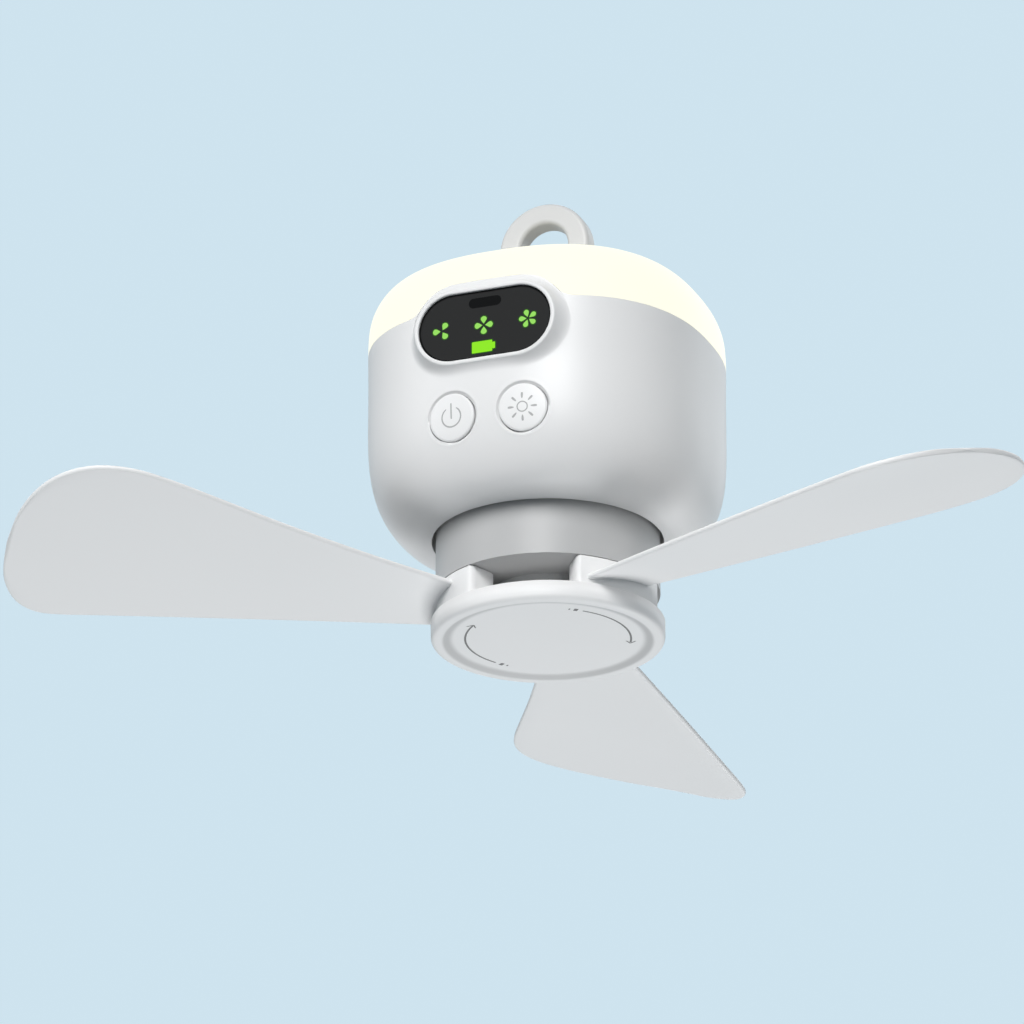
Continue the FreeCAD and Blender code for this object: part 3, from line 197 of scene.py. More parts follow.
def add_part(bm, part):
    # The part's faces join another mesh in the making.
    mesh = bpy.data.meshes.new("part")
    part.to_mesh(mesh)
    part.free()
    bm.from_mesh(mesh)
    bpy.data.meshes.remove(mesh)


def mapped_grid(bm, columns, rows, place):
    # A grid whose points are put where the given function of 0 to 1 across and along says.
    made = bmesh.ops.create_grid(bm, x_segments=columns, y_segments=rows, size=1)
    for vert in made["verts"]:
        vert.co = place((vert.co.x + 1) / 2, (vert.co.y + 1) / 2)


def turned_to(bm, direction):
    # Faces of an open sheet are made to look along the given direction.
    bm.normal_update()
    along = sum(face.normal.dot(direction) * face.calc_area() for face in bm.faces)
    if along < 0:
        bmesh.ops.reverse_faces(bm, faces=bm.faces[:])


def ring_sheet(name, surface, body, profile, steps, place):
    # A closed band: the profile runs across it and the path goes once round.
    last = len(profile) - 1
    bm = bmesh.new()

    def spot(u, v):
        return place(u * 2 * math.pi, profile[round(v * last)])

    mapped_grid(bm, steps, last, spot)
    bmesh.ops.remove_doubles(bm, verts=bm.verts[:], dist=1e-7)
    turned_to(bm, FORWARD)
    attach(smooth_piece(name, bm, surface, 80), body)


def flat_piece(name, bm, surface, lift):
    # A thin sheet laid just in front of the display's glass.
    for vert in bm.verts:
        vert.co.y = (GLASS_FRONT - lift) * MM
    turned_to(bm, FORWARD)
    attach(smooth_piece(name, bm, surface), "housing")


def rounded_box(bm, x, h, half_x, half_h, corner):
    # A flat rounded rectangle made from a disc whose quarters are pulled apart.
    made = bmesh.ops.create_circle(bm, cap_ends=True, segments=32, radius=corner * MM)
    for vert in made["verts"]:
        a, b = vert.co.x / MM, vert.co.y / MM
        across = a + math.copysign(half_x - corner, a)
        up = b + math.copysign(half_h - corner, b)
        vert.co = point(x + across, 0, h + up)


def stroke(bm, x, h, places, half_widths):
    # A line of varying width along a path given by a function of 0 to 1.
    step = 0.01

    def spot(u, v):
        a = Vector(places(max(0.0, u - step)))
        b = Vector(places(min(1.0, u + step)))
        across = Vector((-(b - a).y, (b - a).x)).normalized()
        at = Vector(places(u)) + across * (v * 2 - 1) * half_widths(u)
        return point(x + at.x, 0, h + at.y)

    mapped_grid(bm, 24, 2, spot)


# Camera at the photograph's angle

VIEW_AZIMUTH = math.radians(20.8)
VIEW_ELEVATION = math.radians(-22.55)
VIEW_DISTANCE = 2.5
VIEW_LENS = 273.5
VIEW_SIDE = -0.01152
VIEW_HEIGHT = BASE + 0.0449


def set_camera():
    a, e = VIEW_AZIMUTH, VIEW_ELEVATION
    back = Vector((math.sin(a) * math.cos(e), -math.cos(a) * math.cos(e), math.sin(e)))
    right = Vector((math.cos(a), math.sin(a), 0))
    target = right * VIEW_SIDE + Vector((0, 0, VIEW_HEIGHT))
    data = bpy.data.cameras.new("camera")
    data.lens = VIEW_LENS
    data.sensor_width = 36
    data.clip_start = 0.05
    data.clip_end = 300
    camera = bpy.data.objects.new("camera", data)
    bpy.context.collection.objects.link(camera)
    camera.location = target + back * VIEW_DISTANCE
    camera.rotation_mode = "QUATERNION"
    camera.rotation_quaternion = (-back).to_track_quat("-Z", "Y")
    bpy.context.scene.camera = camera


# Studio: pale sky, pale floor far below, soft lamps

BACKDROP = (0.62, 0.77, 0.86, 1)
WORLD_STRENGTH = 0.3
FLOOR_LEVEL = -9
FLOOR_RADIUS = 90
FLOOR_GLOW = 0.75


def maths(tree, operation, *values):
    # A maths node. Its inputs are plain numbers or the outputs of other nodes.
    node = tree.nodes.new("ShaderNodeMath")
    node.operation = operation
    for socket, value in zip(node.inputs, values):
        if isinstance(value, bpy.types.NodeSocket):
            tree.links.new(value, socket)
        else:
            socket.default_value = value
    return node.outputs[0]


def world_light():
    # Even white light on the fan, while the eye and mirrored rays see the backdrop.
    world = bpy.data.worlds.new("studio")
    bpy.context.scene.world = world
    world.use_nodes = True
    tree = world.node_tree
    tree.nodes.clear()
    out = tree.nodes.new("ShaderNodeOutputWorld")
    mix = tree.nodes.new("ShaderNodeMixShader")
    light = tree.nodes.new("ShaderNodeBackground")
    light.inputs["Color"].default_value = (1, 1, 1, 1)
    light.inputs["Strength"].default_value = WORLD_STRENGTH
    seen = tree.nodes.new("ShaderNodeBackground")
    seen.inputs["Color"].default_value = BACKDROP
    path = tree.nodes.new("ShaderNodeLightPath")
    direct = maths(tree, "MAXIMUM", path.outputs["Is Camera Ray"], path.outputs["Is Glossy Ray"])
    straight = maths(tree, "MAXIMUM", direct, path.outputs["Is Transmission Ray"])
    tree.links.new(straight, mix.inputs["Fac"])
    tree.links.new(light.outputs[0], mix.inputs[1])
    tree.links.new(seen.outputs[0], mix.inputs[2])
    tree.links.new(mix.outputs[0], out.inputs["Surface"])


def area_lamp(name, place, target, size, power):
    data = bpy.data.lights.new(name, "AREA")
    data.shape = "DISK"
    data.size = size
    data.energy = power
    lamp = bpy.data.objects.new(name, data)
    bpy.context.collection.objects.link(lamp)
    lamp.location = place
    lamp.rotation_euler = (target - Vector(place)).to_track_quat("-Z", "Y").to_euler()


def studio_lamps():
    middle = (cad_low + cad_high) / 2
    area_lamp("key_lamp", (0.4, -1.95, 0.85), middle, 1.1, 38)
    area_lamp("left_lamp", (-1.5, -1.3, 0.6), middle, 1.0, 7)
    area_lamp("under_lamp", (0.0, 0.6, -2.1), middle, 1.6, 29)
    area_lamp("back_lamp", (0.6, 1.6, 0.8), middle, 1.2, 6)


def studio_floor():
    # Far below, and seen directly in nearly the backdrop's colour.
    bm = bmesh.new()
    bmesh.ops.create_circle(bm, cap_ends=True, segments=64, radius=FLOOR_RADIUS)
    bmesh.ops.translate(bm, vec=(0, 0, FLOOR_LEVEL), verts=bm.verts)
    paint = material("floor_paint", (0.72, 0.80, 0.85), 0.9)
    tree = paint.node_tree
    path = tree.nodes.new("ShaderNodeLightPath")
    shader = tree.nodes["Principled BSDF"]
    shader.inputs["Emission Color"].default_value = BACKDROP
    seen = maths(tree, "MULTIPLY", path.outputs["Is Camera Ray"], FLOOR_GLOW)
    tree.links.new(seen, shader.inputs["Emission Strength"])
    mesh_object("studio_floor", bm, paint)


# Materials

def new_group(name, ins, outs):
    group = bpy.data.node_groups.new(name, "ShaderNodeTree")
    for label, kind, value in ins:
        socket = group.interface.new_socket(name=label, in_out="INPUT", socket_type=kind)
        socket.default_value = value
    for label, kind in outs:
        group.interface.new_socket(name=label, in_out="OUTPUT", socket_type=kind)
    return group, group.nodes.new("NodeGroupInput"), group.nodes.new("NodeGroupOutput")


def moulded_skin():
    # Fine moulding texture, with a slow drift of tone over the surface.
    group, given, result = new_group(
        "moulded_skin",
        [("Tone", "NodeSocketColor", (0.8, 0.8, 0.8, 1)), ("Drift", "NodeSocketFloat", 0.03),
         ("Grain Scale", "NodeSocketFloat", 2200.0), ("Grain Depth", "NodeSocketFloat", 0.05),
         ("Gloss", "NodeSocketFloat", 0.4)],
        [("Colour", "NodeSocketColor"), ("Roughness", "NodeSocketFloat"), ("Normal", "NodeSocketVector")])
    nodes, link = group.nodes, group.links.new
    where = nodes.new("ShaderNodeTexCoord")
    slow = nodes.new("ShaderNodeTexNoise")
    slow.inputs["Scale"].default_value = 14
    slow.inputs["Detail"].default_value = 3
    link(where.outputs["Object"], slow.inputs["Vector"])
    grain = nodes.new("ShaderNodeTexNoise")
    grain.inputs["Detail"].default_value = 2
    link(where.outputs["Object"], grain.inputs["Vector"])
    link(given.outputs["Grain Scale"], grain.inputs["Scale"])

    centred = maths(group, "SUBTRACT", slow.outputs["Fac"], 0.5)
    amount = maths(group, "MULTIPLY_ADD", centred, given.outputs["Drift"], 1.0)
    tinted = nodes.new("ShaderNodeVectorMath")
    tinted.operation = "SCALE"
    link(given.outputs["Tone"], tinted.inputs[0])
    link(amount, tinted.inputs["Scale"])
    link(tinted.outputs[0], result.inputs["Colour"])

    rough = maths(group, "MULTIPLY_ADD", centred, 0.12, given.outputs["Gloss"])
    link(rough, result.inputs["Roughness"])

    bump = nodes.new("ShaderNodeBump")
    bump.inputs["Distance"].default_value = 0.0001
    link(given.outputs["Grain Depth"], bump.inputs["Strength"])
    link(grain.outputs["Fac"], bump.inputs["Height"])
    link(bump.outputs[0], result.inputs["Normal"])
    return group


SKIN = moulded_skin()


def material(name, tone, gloss=0.4, drift=0.03, grain=2200.0, depth=0.05, metal=0.0, glow=None,
             glow_strength=0.0, coat=0.0, shine=0.5):
    # A plain material that came with the frame under the same name makes way.
    plain = bpy.data.materials.get(name)
    if plain:
        bpy.data.materials.remove(plain)
    made = bpy.data.materials.new(name)
    made.use_nodes = True
    tree = made.node_tree
    shader = tree.nodes["Principled BSDF"]
    skin = tree.nodes.new("ShaderNodeGroup")
    skin.node_tree = SKIN
    skin.inputs["Tone"].default_value = (*tone, 1)
    skin.inputs["Drift"].default_value = drift
    skin.inputs["Grain Scale"].default_value = grain
    skin.inputs["Grain Depth"].default_value = depth
    skin.inputs["Gloss"].default_value = gloss
    tree.links.new(skin.outputs["Colour"], shader.inputs["Base Color"])
    tree.links.new(skin.outputs["Roughness"], shader.inputs["Roughness"])
    tree.links.new(skin.outputs["Normal"], shader.inputs["Normal"])
    shader.inputs["Metallic"].default_value = metal
    shader.inputs["Coat Weight"].default_value = coat
    shader.inputs["Coat Roughness"].default_value = 0.08
    shader.inputs["Specular IOR Level"].default_value = shine
    if glow:
        shader.inputs["Emission Color"].default_value = (*glow, 1)
        shader.inputs["Emission Strength"].default_value = glow_strength
    return made


def rim_shade(made):
    # Painted shade: a soft darker ring where the cap's face meets its raised rim, for the shade that falls in
    # that groove.
    full_reach = 100.0
    dark = 0.68
    group, given, result = new_group("rim_shade", [("Colour", "NodeSocketColor", (0.8, 0.8, 0.8, 1))],
                                     [("Colour", "NodeSocketColor")])
    nodes, link = group.nodes, group.links.new
    where = nodes.new("ShaderNodeTexCoord")
    flat = nodes.new("ShaderNodeVectorMath")
    flat.operation = "MULTIPLY"
    flat.inputs[1].default_value = (1, 1, 0)
    link(where.outputs["Object"], flat.inputs[0])
    radius = nodes.new("ShaderNodeVectorMath")
    radius.operation = "LENGTH"
    link(flat.outputs[0], radius.inputs[0])
    ring = nodes.new("ShaderNodeValToRGB")
    ring.color_ramp.interpolation = "EASE"
    ring.color_ramp.elements[0].color = (1, 1, 1, 1)
    for place, tone in ((29.8, 1.0), (32.1, dark), (33.1, dark), (34.3, 1.0)):
        stop = ring.color_ramp.elements.new(place / full_reach)
        stop.color = (tone, tone, tone, 1)
    link(maths(group, "MULTIPLY", radius.outputs["Value"], 1 / (full_reach * MM)), ring.inputs["Fac"])
    mixed = nodes.new("ShaderNodeVectorMath")
    mixed.operation = "MULTIPLY"
    link(given.outputs["Colour"], mixed.inputs[0])
    link(ring.outputs["Color"], mixed.inputs[1])
    link(mixed.outputs[0], result.inputs["Colour"])

    tree = made.node_tree
    base = tree.nodes["Principled BSDF"].inputs["Base Color"]
    shade = tree.nodes.new("ShaderNodeGroup")
    shade.node_tree = group
    tree.links.new(base.links[0].from_socket, shade.inputs["Colour"])
    tree.links.new(shade.outputs["Colour"], base)
    return made


def finishes():
    made = [
        material("white_housing", (0.77, 0.77, 0.77), 0.42),
        material("loop_plastic", (0.58, 0.58, 0.58), 0.45),
        # Painted shade: the hub gets a darker grey than the white housing, for the shade it lies in between
        # the body, the blades and the cap.
        material("hub_plastic_painted_shade", (0.46, 0.46, 0.46), 0.45),
        material("blade_plastic", (0.85, 0.85, 0.85), 0.55, depth=0.06),
        material("lamp_diffuser", (0.10, 0.10, 0.085), 0.6, glow=(1.0, 0.985, 0.83), glow_strength=0.93,
                 shine=0.2),
        material("display_glass", (0.022, 0.022, 0.022), shine=0.06),
        material("sensor_black", (0.002, 0.002, 0.002), shine=0.06),
        material("dark_plastic", (0.02, 0.02, 0.022), 0.5),
        material("circuit_board", (0.02, 0.14, 0.06), 0.35, drift=0.3),
        material("lamp_board", (0.75, 0.75, 0.74)),
        material("led_lens", (0.85, 0.7, 0.25), 0.3, glow=(1, 0.93, 0.7), glow_strength=1.0),
        material("icon_led", (0.25, 0.7, 0.06), glow=(0.28, 0.85, 0.06), glow_strength=0.5),
        material("steel", (0.55, 0.55, 0.56), 0.3, drift=0.2, metal=1.0),
        material("aluminium", (0.68, 0.69, 0.71), 0.42, drift=0.1, grain=900, depth=0.2, metal=1.0),
        material("lamination", (0.22, 0.22, 0.24), 0.45, drift=0.2, metal=1.0),
        material("copper", (0.62, 0.25, 0.09), 0.3, drift=0.3, metal=1.0),
        material("magnet", (0.06, 0.06, 0.065), 0.6),
        material("cell_wrap", (0.03, 0.14, 0.38), 0.3, coat=0.3),
        material("nickel", (0.62, 0.6, 0.55), 0.3, metal=1.0),
        material("icon_green", (0.02, 0.05, 0.01), 0.5, glow=(0.29, 0.68, 0.11), glow_strength=1.0,
                 shine=0.1),
        material("battery_green", (0.02, 0.05, 0.0), 0.5, glow=(0.25, 0.76, 0.015), glow_strength=1.0,
                 shine=0.1),
        material("icon_halo", (0.01, 0.03, 0.004), 0.5, glow=(0.012, 0.07, 0.004), glow_strength=0.8,
                 shine=0.1),
        material("button_face", (0.82, 0.82, 0.82)),
        # The cap's plastic, with painted shade in the groove at its rim.
        rim_shade(material("cap_plastic", (0.84, 0.84, 0.84), 0.5)),
        material("engraved_grey", (0.40, 0.40, 0.40), 0.6),
        material("arrow_grey", (0.2, 0.2, 0.2), 0.6),
    ]
    return {surface.name: surface for surface in made}


def dress_nodes(finish):
    slots = {part["node"]: part["material_slot"] for part in frame["record"]["subparts"]}
    # Painted shade: the hub takes its own darker grey finish in place of its record slot.
    slots["rotor_hub"] = "hub_plastic_painted_shade"
    slots["hang_loop"] = "loop_plastic"
    for node, piece in frame["nodes"].items():
        piece.data.materials.clear()
        piece.data.materials.append(finish[slots[node]])


# Housing and display surround

def pill_spot(angle, reach_out):
    # The display outline, walked round at a steady rate and grown by reach_out.
    radius = WINDOW_RADIUS + reach_out
    straight = 2 * WINDOW_REACH
    arc = math.pi * WINDOW_RADIUS
    total = 2 * (straight + arc)
    walked = (angle / (2 * math.pi)) % 1.0 * total
    if walked < arc:
        turn = walked / WINDOW_RADIUS - math.pi / 2
        return WINDOW_REACH + radius * math.cos(turn), radius * math.sin(turn), turn
    walked -= arc
    if walked < straight:
        return WINDOW_REACH - walked, radius, math.pi / 2
    walked -= straight
    if walked < arc:
        turn = walked / WINDOW_RADIUS + math.pi / 2
        return -WINDOW_REACH + radius * math.cos(turn), radius * math.sin(turn), turn
    walked -= arc
    return -WINDOW_REACH + walked, -radius, -math.pi / 2


def display_surround(surface):
    # The thin rim round the window, with a soft slope that fades into the body.
    rim = [(0.12, -56.0), (0.12, -57.1), (0.2, -57.36), (0.38, -57.5), (0.62, RIM_FRONT), (0.95, RIM_FRONT),
           (1.22, -57.47), (1.42, -57.32), (RIM_FOOT_OUT, RIM_FOOT_DEPTH)]
    slope = [0.05, 0.12, 0.2, 0.3, 0.4, 0.5, 0.6, 0.7, 0.8, 0.88, 0.95, 1.0]
    profile = [("rim", out, y) for out, y in rim] + [("slope", t, 0) for t in slope]
    profile += [("tuck", 1.0, 0.25)]

    def place(angle, row):
        kind, t, depth = row
        if kind == "rim":
            x, rise, turn = pill_spot(angle, t)
            return point(x, depth, WINDOW_HEIGHT + rise)
        # The slope is shorter above the window, where the lamp cover's edge is near.
        turn = pill_spot(angle, 0)[2]
        tab = eased(0.25, 0.5, math.sin(turn))
        reach = FREE_REACH + (TAB_REACH - FREE_REACH) * tab
        x, rise, turn = pill_spot(angle, RIM_FOOT_OUT + (reach - RIM_FOOT_OUT) * t)
        foot = front_depth(x, WINDOW_HEIGHT + rise) - 0.01
        if kind == "tuck":
            y = foot + depth * tab
        else:
            y = foot + (RIM_FOOT_DEPTH - foot) * (1 - t) ** 2.6
        return point(x, y, WINDOW_HEIGHT + rise)

    ring_sheet("display_surround", surface, "housing", profile, 160, place)


def even_front(piece):
    # The smooth front is shaded by its own curve, also where the cut faces are long and thin.
    mesh = piece.data
    turned = [Vector((0, 0, 0))] * len(mesh.loops)
    for face in mesh.polygons:
        for corner in face.loop_indices:
            x, y, h = placed(mesh.vertices[mesh.loops[corner].vertex_index].co)
            if y > -35 or abs(x) > 42 or not RIM_HEIGHT + 4 < h < SEAM_HEIGHT:
                continue
            normal = front_normal(x, h)
            if abs(y - front_depth(x, h)) < 0.2 and face.normal.dot(normal) > 0.97:
                turned[corner] = normal
    mesh.normals_split_custom_set(turned)


def housing_skin(surface):
    # The housing without the boss's flanks, which the display surround covers.
    bm = copied("housing_shell")
    flanks = []
    for face in bm.faces:
        x, y, h = placed(face.calc_center_median())
        across = max(abs(x) - WINDOW_REACH, 0.0)
        out = math.hypot(across, h - WINDOW_HEIGHT) - WINDOW_RADIUS
        beside = RIM_WIDTH - 0.02 < out < TAB_REACH + 0.1
        if beside and y < BOSS_REAR and y < front_depth(x, h) - 0.04:
            flanks.append(face)
    bmesh.ops.delete(bm, geom=flanks, context="FACES")
    skin = BVHTree.FromBMesh(bm)
    piece = smooth_piece("housing_skin", bm, surface, 30)
    even_front(piece)
    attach(piece, "housing")
    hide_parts("housing_shell")
    return skin


def window_border(surface):
    # Pairs of how far out and how far in front of the glass.
    profile = [(-0.55, 0.012), (-0.3, 0.015), (0.11, 0.015)]

    def place(angle, row):
        x, rise, turn = pill_spot(angle, row[0])
        return point(x, GLASS_FRONT - row[1], WINDOW_HEIGHT + rise)

    ring_sheet("window_border", surface, "housing", profile, 120, place)


# Display symbols

def petal(bm, x, turn, inner, outer, half_width):
    # A drop-shaped fan blade, narrow at the hub and full at the tip.
    def spot(u, v):
        radius = inner + (outer - inner) * u
        side = (v * 2 - 1) * half_width * math.sin(math.pi * u ** 1.7) ** 0.6
        a, b = math.cos(turn), math.sin(turn)
        return point(x + radius * a - side * b, 0, ICON_HEIGHT + radius * b + side * a)

    mapped_grid(bm, 16, 4, spot)


def display_icons(lit, halo):
    # Three fans for the speeds, with three, four and five blades, each with its first angle.
    core, edge = bmesh.new(), bmesh.new()
    for x, count, first in ((-ICON_SPACING, 3, 180), (MIDDLE_ICON_X, 4, 90), (ICON_SPACING, 5, 105)):
        half_width = 1.0 if count < 5 else 0.84
        for k in range(count):
            turn = math.radians(first + 360 * k / count)
            petal(core, x, turn, 0.5, 3.1, half_width)
            petal(edge, x, turn, 0.2, 3.45, half_width + 0.32)
    flat_piece("fan_icon_light", core, lit, LIT_LIFT)
    flat_piece("fan_icon_halo", edge, halo, HALO_LIFT)


def battery_icon(lit, halo):
    core, edge = bmesh.new(), bmesh.new()
    h = ICON_HEIGHT - BATTERY_DROP
    rounded_box(core, -0.95, h, 3.45, 1.95, 0.35)
    rounded_box(core, 2.95, h, 0.5, 1.15, 0.3)
    rounded_box(edge, -0.95, h, 3.75, 2.25, 0.5)
    rounded_box(edge, 3.1, h, 0.72, 1.45, 0.4)
    flat_piece("battery_icon_light", core, lit, LIT_LIFT)
    flat_piece("battery_icon_halo", edge, halo, HALO_LIFT)


def sensor_cover(surface):
    bm = bmesh.new()
    rounded_box(bm, 0.0, WINDOW_HEIGHT + SENSOR_RISE, 5.5, 1.7, 1.65)
    flat_piece("sensor_cover", bm, surface, HALO_LIFT)


# Buttons

def around_button(side, radius, angle):
    return side * BUTTON_X + radius * math.cos(angle), BUTTON_HEIGHT + radius * math.sin(angle)


def button_face(side, body, surface):
    # A softly rounded face over the button's cut edge: pairs of radius and lift from the body.
    profile = [(0.0, 0.25), (2.0, 0.25), (4.0, 0.25), (6.0, 0.25), (7.0, 0.25), (7.3, 0.235), (7.52, 0.17),
               (7.68, 0.07), (7.78, -0.08), (7.83, -0.3), (7.83, -0.7)]

    def place(angle, row):
        x, h = around_button(side, row[0], angle)
        return point(x, front_depth(x, h) - row[1], h)

    ring_sheet(body + "_face", surface, body, profile, 72, place)


def button_surround(side, name, surface, skin):
    # The groove round the button, with a soft lip that fades into the body.
    profile = [(8.02, -1.1), (8.1, -0.75), (8.25, -0.6), (8.45, -0.45), (8.62, -0.22), (8.76, -0.02),
               (8.92, 0.05), (9.1, 0.07), (9.4, 0.055), (9.7, 0.03), (10.0, 0.015), (10.3, 0.01)]

    def place(angle, row):
        x, h = around_button(side, row[0], angle)
        lip_x, lip_h = around_button(side, max(LIP_START, row[0]), angle)
        hit = skin.ray_cast(point(lip_x, -HALF_WIDTH - 10, lip_h), -FORWARD)[0]
        y = hit.y / MM + front_depth(x, h) - front_depth(lip_x, lip_h)
        return point(x, y - row[1], h)

    ring_sheet(name, surface, "housing", profile, 72, place)


def circle(radius, start, sweep):
    # A path along an arc, as a function of 0 to 1.
    def spot(u):
        turn = start + u * sweep
        return radius * math.cos(turn), radius * math.sin(turn)
    return spot


def sun_ray(turn):
    def spot(u):
        radius = RAY_START + RAY_LENGTH * u
        return radius * math.cos(turn), radius * math.sin(turn)
    return spot


def button_symbols(surface):
    # Power sign on the left button, and a sun on the right one.
    def bar(u):
        return 0.0, 4.6 - 5.3 * u

    def round_ended(u):
        return 0.24 * min(1.0, 0.3 + 12 * min(u, 1 - u)) ** 0.5

    def drop(u):
        return 0.14 + 0.22 * math.sin(math.pi * min(1, u * 0.8))

    power, sun = bmesh.new(), bmesh.new()
    arc = circle(POWER_RADIUS, math.pi / 2 + POWER_GAP, 2 * math.pi - 2 * POWER_GAP)
    stroke(power, -BUTTON_X, BUTTON_HEIGHT, arc, round_ended)
    stroke(power, -BUTTON_X, BUTTON_HEIGHT, bar, round_ended)
    stroke(sun, BUTTON_X, BUTTON_HEIGHT, circle(SUN_RADIUS, 0, 2 * math.pi), lambda u: 0.2)
    for k in range(SUN_RAYS):
        stroke(sun, BUTTON_X, BUTTON_HEIGHT, sun_ray(2 * math.pi / SUN_RAYS * k), drop)
    for name, bm, body in (("power_sign", power, "power_button"), ("sun_sign", sun, "light_button")):
        for vert in bm.verts:
            x, y, h = placed(vert.co)
            vert.co.y = (front_depth(x, h) - SYMBOL_LIFT) * MM
        turned_to(bm, FORWARD)
        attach(smooth_piece(name, bm, surface), body)


# Lock cap

def cap_skin(surface):
    # The cap with a wide, softly rounded rim round its sunken face: pairs of radius and height.
    profile = [(0.0, 1.0), (12.0, 1.0), (24.0, 1.0), (29.8, 1.0), (30.6, 0.98), (31.3, 0.88), (32.0, 0.68),
               (32.7, 0.42), (33.3, 0.2), (33.9, 0.05), (34.5, 0.0), (35.2, 0.0), (36.0, 0.02), (36.5, 0.12),
               (36.9, 0.34), (37.2, 0.66), (37.4, 1.1), (37.48, 1.6), (37.5, 2.5)]
    last = len(profile) - 1
    bm = copied("lock_cap")
    bmesh.ops.bisect_plane(bm, geom=bm.verts[:] + bm.edges[:] + bm.faces[:],
                           plane_co=point(0, 0, profile[-1][1]), plane_no=(0, 0, 1), clear_inner=True)

    def spot(u, v):
        radius, h = profile[round(v * last)]
        return point(radius * math.cos(u * 2 * math.pi), radius * math.sin(u * 2 * math.pi), h)

    front = bmesh.new()
    mapped_grid(front, 180, last, spot)
    bmesh.ops.remove_doubles(front, verts=front.verts[:], dist=1e-7)
    turned_to(front, DOWN)
    add_part(bm, front)
    piece = smooth_piece("cap_skin", bm, surface, 35)
    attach(piece, "lock_cap")
    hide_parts("lock_cap")


def cap_mark(bm, centre, sweep, half_width):
    def spot(u, v):
        turn = centre + sweep * (u - 0.5)
        radius = ARROW_RADIUS + (v * 2 - 1) * half_width
        return point(radius * math.cos(turn), radius * math.sin(turn), ARROW_HEIGHT)

    mapped_grid(bm, 24, 1, spot)


def arrow_stroke(bm, tip, side):
    # One of the two short strokes that meet at the arrow's point.
    def spot(u, v):
        turn = tip - u * 2.1 / ARROW_RADIUS
        radius = ARROW_RADIUS + side * 1.5 * u + (v * 2 - 1) * 0.27
        return point(radius * math.cos(turn), radius * math.sin(turn), ARROW_HEIGHT)

    mapped_grid(bm, 6, 1, spot)


def cap_arrows(surface):
    # Two curved arrows, cut in the sunken face, that show which way the cap turns.
    bm = bmesh.new()
    for first, last in ((-45, 27), (150, 226)):
        a, b = math.radians(first), math.radians(last)
        cap_mark(bm, (a + b) / 2, b - a, ARROW_HALF_WIDTH)
        arrow_stroke(bm, b + 0.03, -1)
        arrow_stroke(bm, b + 0.03, 1)
        cap_mark(bm, a - 0.09, 0.05, 0.9)
        cap_mark(bm, a - 0.17, 0.02, 0.5)
    bmesh.ops.recalc_face_normals(bm, faces=bm.faces[:])
    turned_to(bm, DOWN)
    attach(smooth_piece("cap_arrows", bm, surface), "lock_cap")


# Blades, drawn flat as pairs of how far out and how far towards the leading edge

BLADE_LEADING = [(30.0, 10.3), (60.0, 21.8), (90.0, 34.3), (114.0, 45.0), (131.0, 52.4), (144.0, 56.3),
                 (155.0, 55.7), (164.0, 50.4), (170.8, 40.8), (175.2, 26.8), (BLADE_END, 10.0)]
BLADE_TRAILING = [(30.0, -14.2), (94.0, -18.4), (140.0, -21.4), (154.0, -22.3), (162.0, -21.8),
                  (168.6, -18.2), (173.0, -12.0), (175.6, -4.0), (BLADE_END, 10.0)]


def curve_points(points, count):
    # A smooth line through the given points, as evenly spaced samples.
    samples = []
    for k in range(len(points) - 1):
        a = Vector(points[max(0, k - 1)])
        b = Vector(points[k])
        c = Vector(points[k + 1])
        d = Vector(points[min(len(points) - 1, k + 2)])
        for j in range(16):
            t = j / 16
            samples.append(0.5 * ((2 * b) + (c - a) * t + (2 * a - 5 * b + 4 * c - d) * t * t
                                  + (3 * b - a - 3 * c + d) * t ** 3))
    samples.append(Vector(points[-1]))
    lengths = [0.0]
    for p, q in zip(samples, samples[1:]):
        lengths.append(lengths[-1] + (q - p).length)
    even = []
    for k in range(count + 1):
        want = lengths[-1] * k / count
        at = next(i for i in range(1, len(lengths)) if lengths[i] >= want - 1e-9)
        t = (want - lengths[at - 1]) / max(1e-9, lengths[at] - lengths[at - 1])
        even.append(samples[at - 1].lerp(samples[at], t))
    return even


def bent(u, v, w):
    # A flat blade point, given the blade's camber, pitch and twist.
    w -= CAMBER * ((v - CAMBER_MIDDLE) / CAMBER_REACH) ** 2
    pitch = math.radians(BLADE_PITCH + BLADE_TWIST * (u - PITCH_PLACE))
    return Vector((u, v * math.cos(pitch) - w * math.sin(pitch), v * math.sin(pitch) + w * math.cos(pitch)))


def blade_section():
    # Rows across the blade: two rounded edges, with the flat run between them.
    half = BLADE_THICKNESS / 2
    edge = []
    for k in range(5):
        a = math.pi / 2 * k / 4
        edge.append((half * (1 - math.cos(a)), half * math.sin(a)))
    rows = [("lead", out, w) for out, w in edge]
    rows += [("flat", share, half) for share in (0.1, 0.25, 0.4, 0.5, 0.6, 0.75, 0.9)]
    rows += [("trail", out, w) for out, w in reversed(edge)]
    return rows


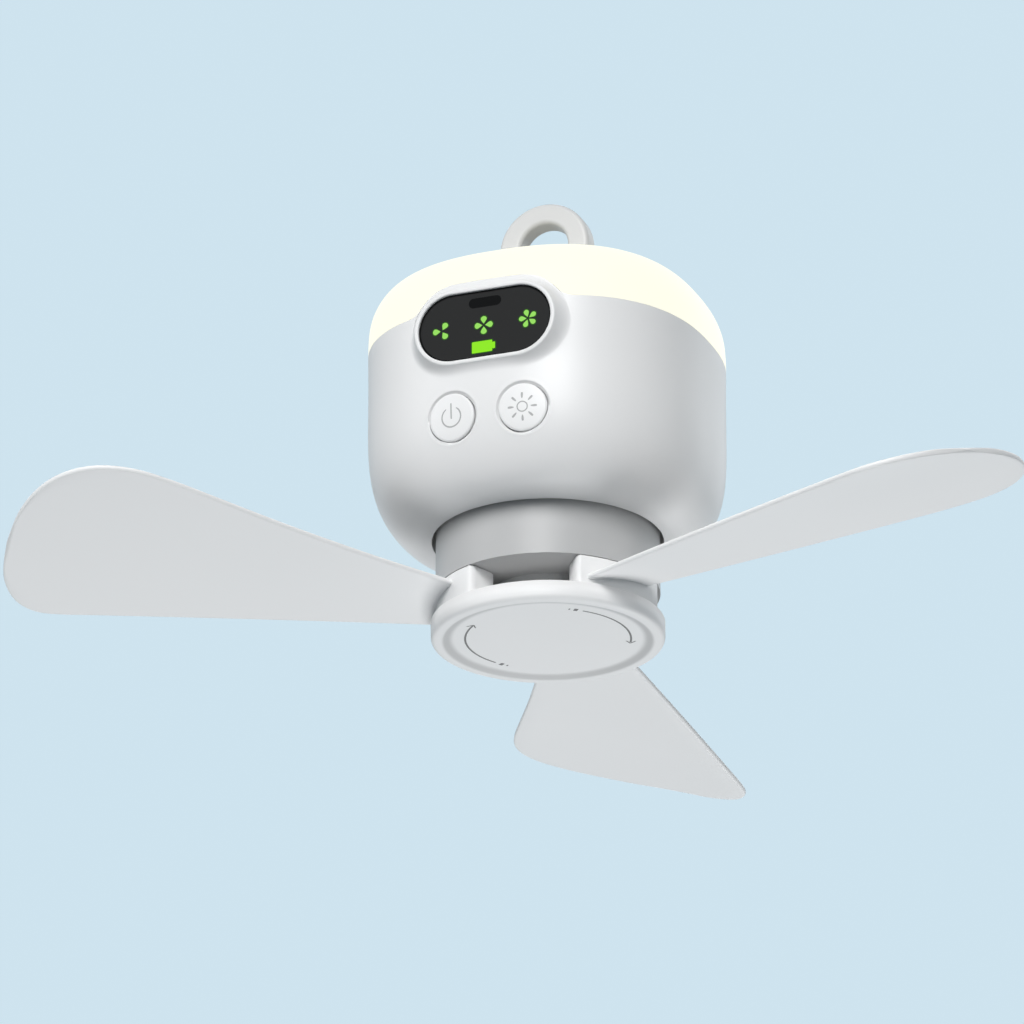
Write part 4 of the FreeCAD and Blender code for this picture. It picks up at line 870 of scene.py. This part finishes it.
def blade_skin(number, surface):
    turn = Matrix.Rotation(math.radians(FIRST_BLADE_ANGLE + 120.0 * (number - 1)), 3, "Z")
    lead = curve_points(BLADE_LEADING, BLADE_STEPS)
    trail = curve_points(BLADE_TRAILING, BLADE_STEPS)
    rows = blade_section()
    last = len(rows) - 1
    bm = bmesh.new()
    for side in (-1, 1):
        def spot(u, v):
            k = round(u * BLADE_STEPS)
            span = max((trail[k] - lead[k]).length, 1e-6)
            kind, out, w = rows[round(v * last)]
            share = out if kind == "flat" else min(0.5, out / span)
            if kind == "trail":
                share = 1 - share
            at = lead[k].lerp(trail[k], share)
            # The blade thins out to nothing at its very end.
            thin = min(1.0, max(0.0, (BLADE_END - at.x) / (BLADE_THICKNESS / 2))) ** 0.5
            place = turn @ bent(at.x, at.y, side * w * thin)
            return point(place.x, place.y, BLADE_HEIGHT + place.z)

        mapped_grid(bm, BLADE_STEPS, last, spot)
    bmesh.ops.remove_doubles(bm, verts=bm.verts[:], dist=2e-6)
    bmesh.ops.recalc_face_normals(bm, faces=bm.faces[:])
    root = root_block()
    bmesh.ops.transform(root, matrix=turn.to_4x4(), verts=root.verts[:])
    add_part(bm, root)
    piece = smooth_piece("blade_skin_%d" % number, bm, surface, 50)
    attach(piece, "rotor")
    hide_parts("blade_%d" % number)


def root_block():
    # The block that the hub and the lock cap clamp, with rounded corners.
    start = math.radians(-ROOT_TRAILING_ANGLE)
    sweep = math.radians(ROOT_TRAILING_ANGLE + ROOT_LEADING_ANGLE)
    crease = 1.2
    block = bmesh.new()

    def section(u, v):
        radius = ROOT_INNER + (ROOT_OUTER - ROOT_INNER) * u
        h = ROOT_LOW + (ROOT_HIGH - ROOT_LOW) * v
        return point(radius * math.cos(start), radius * math.sin(start), h)

    mapped_grid(block, 1, 1, section)
    geom = block.faces[:] + block.edges[:] + block.verts[:]
    bmesh.ops.spin(block, geom=geom, cent=(0, 0, 0), axis=(0, 0, 1), angle=sweep, steps=28,
                   use_duplicate=False)
    bmesh.ops.recalc_face_normals(block, faces=block.faces[:])
    creases = [e for e in block.edges if len(e.link_faces) == 2 and e.calc_face_angle() > crease]
    upright = [e for e in creases if abs(e.verts[0].co.z - e.verts[1].co.z) > 5 * MM]
    bmesh.ops.bevel(block, geom=upright, offset=2.5 * MM, segments=6, profile=0.5, affect="EDGES", material=-1)
    rims = [e for e in block.edges if len(e.link_faces) == 2 and e.calc_face_angle() > crease]
    bmesh.ops.bevel(block, geom=rims, offset=0.5 * MM, segments=3, profile=0.5, affect="EDGES", material=-1)
    return block


finish = finishes()
set_camera()
world_light()
studio_lamps()
studio_floor()
dress_nodes(finish)
skin = housing_skin(finish["white_housing"])
display_surround(finish["white_housing"])
window_border(finish["sensor_black"])
sensor_cover(finish["sensor_black"])
display_icons(finish["icon_green"], finish["icon_halo"])
battery_icon(finish["battery_green"], finish["icon_halo"])
for side, body in ((-1, "power_button"), (1, "light_button")):
    button_face(side, body, finish["button_face"])
    button_surround(side, body + "_surround", finish["white_housing"], skin)
button_symbols(finish["engraved_grey"])
cap_skin(finish["cap_plastic"])
cap_arrows(finish["arrow_grey"])
for number in (1, 2, 3):
    blade_skin(number, finish["blade_plastic"])
bpy.context.scene.view_settings.view_transform = "Standard"
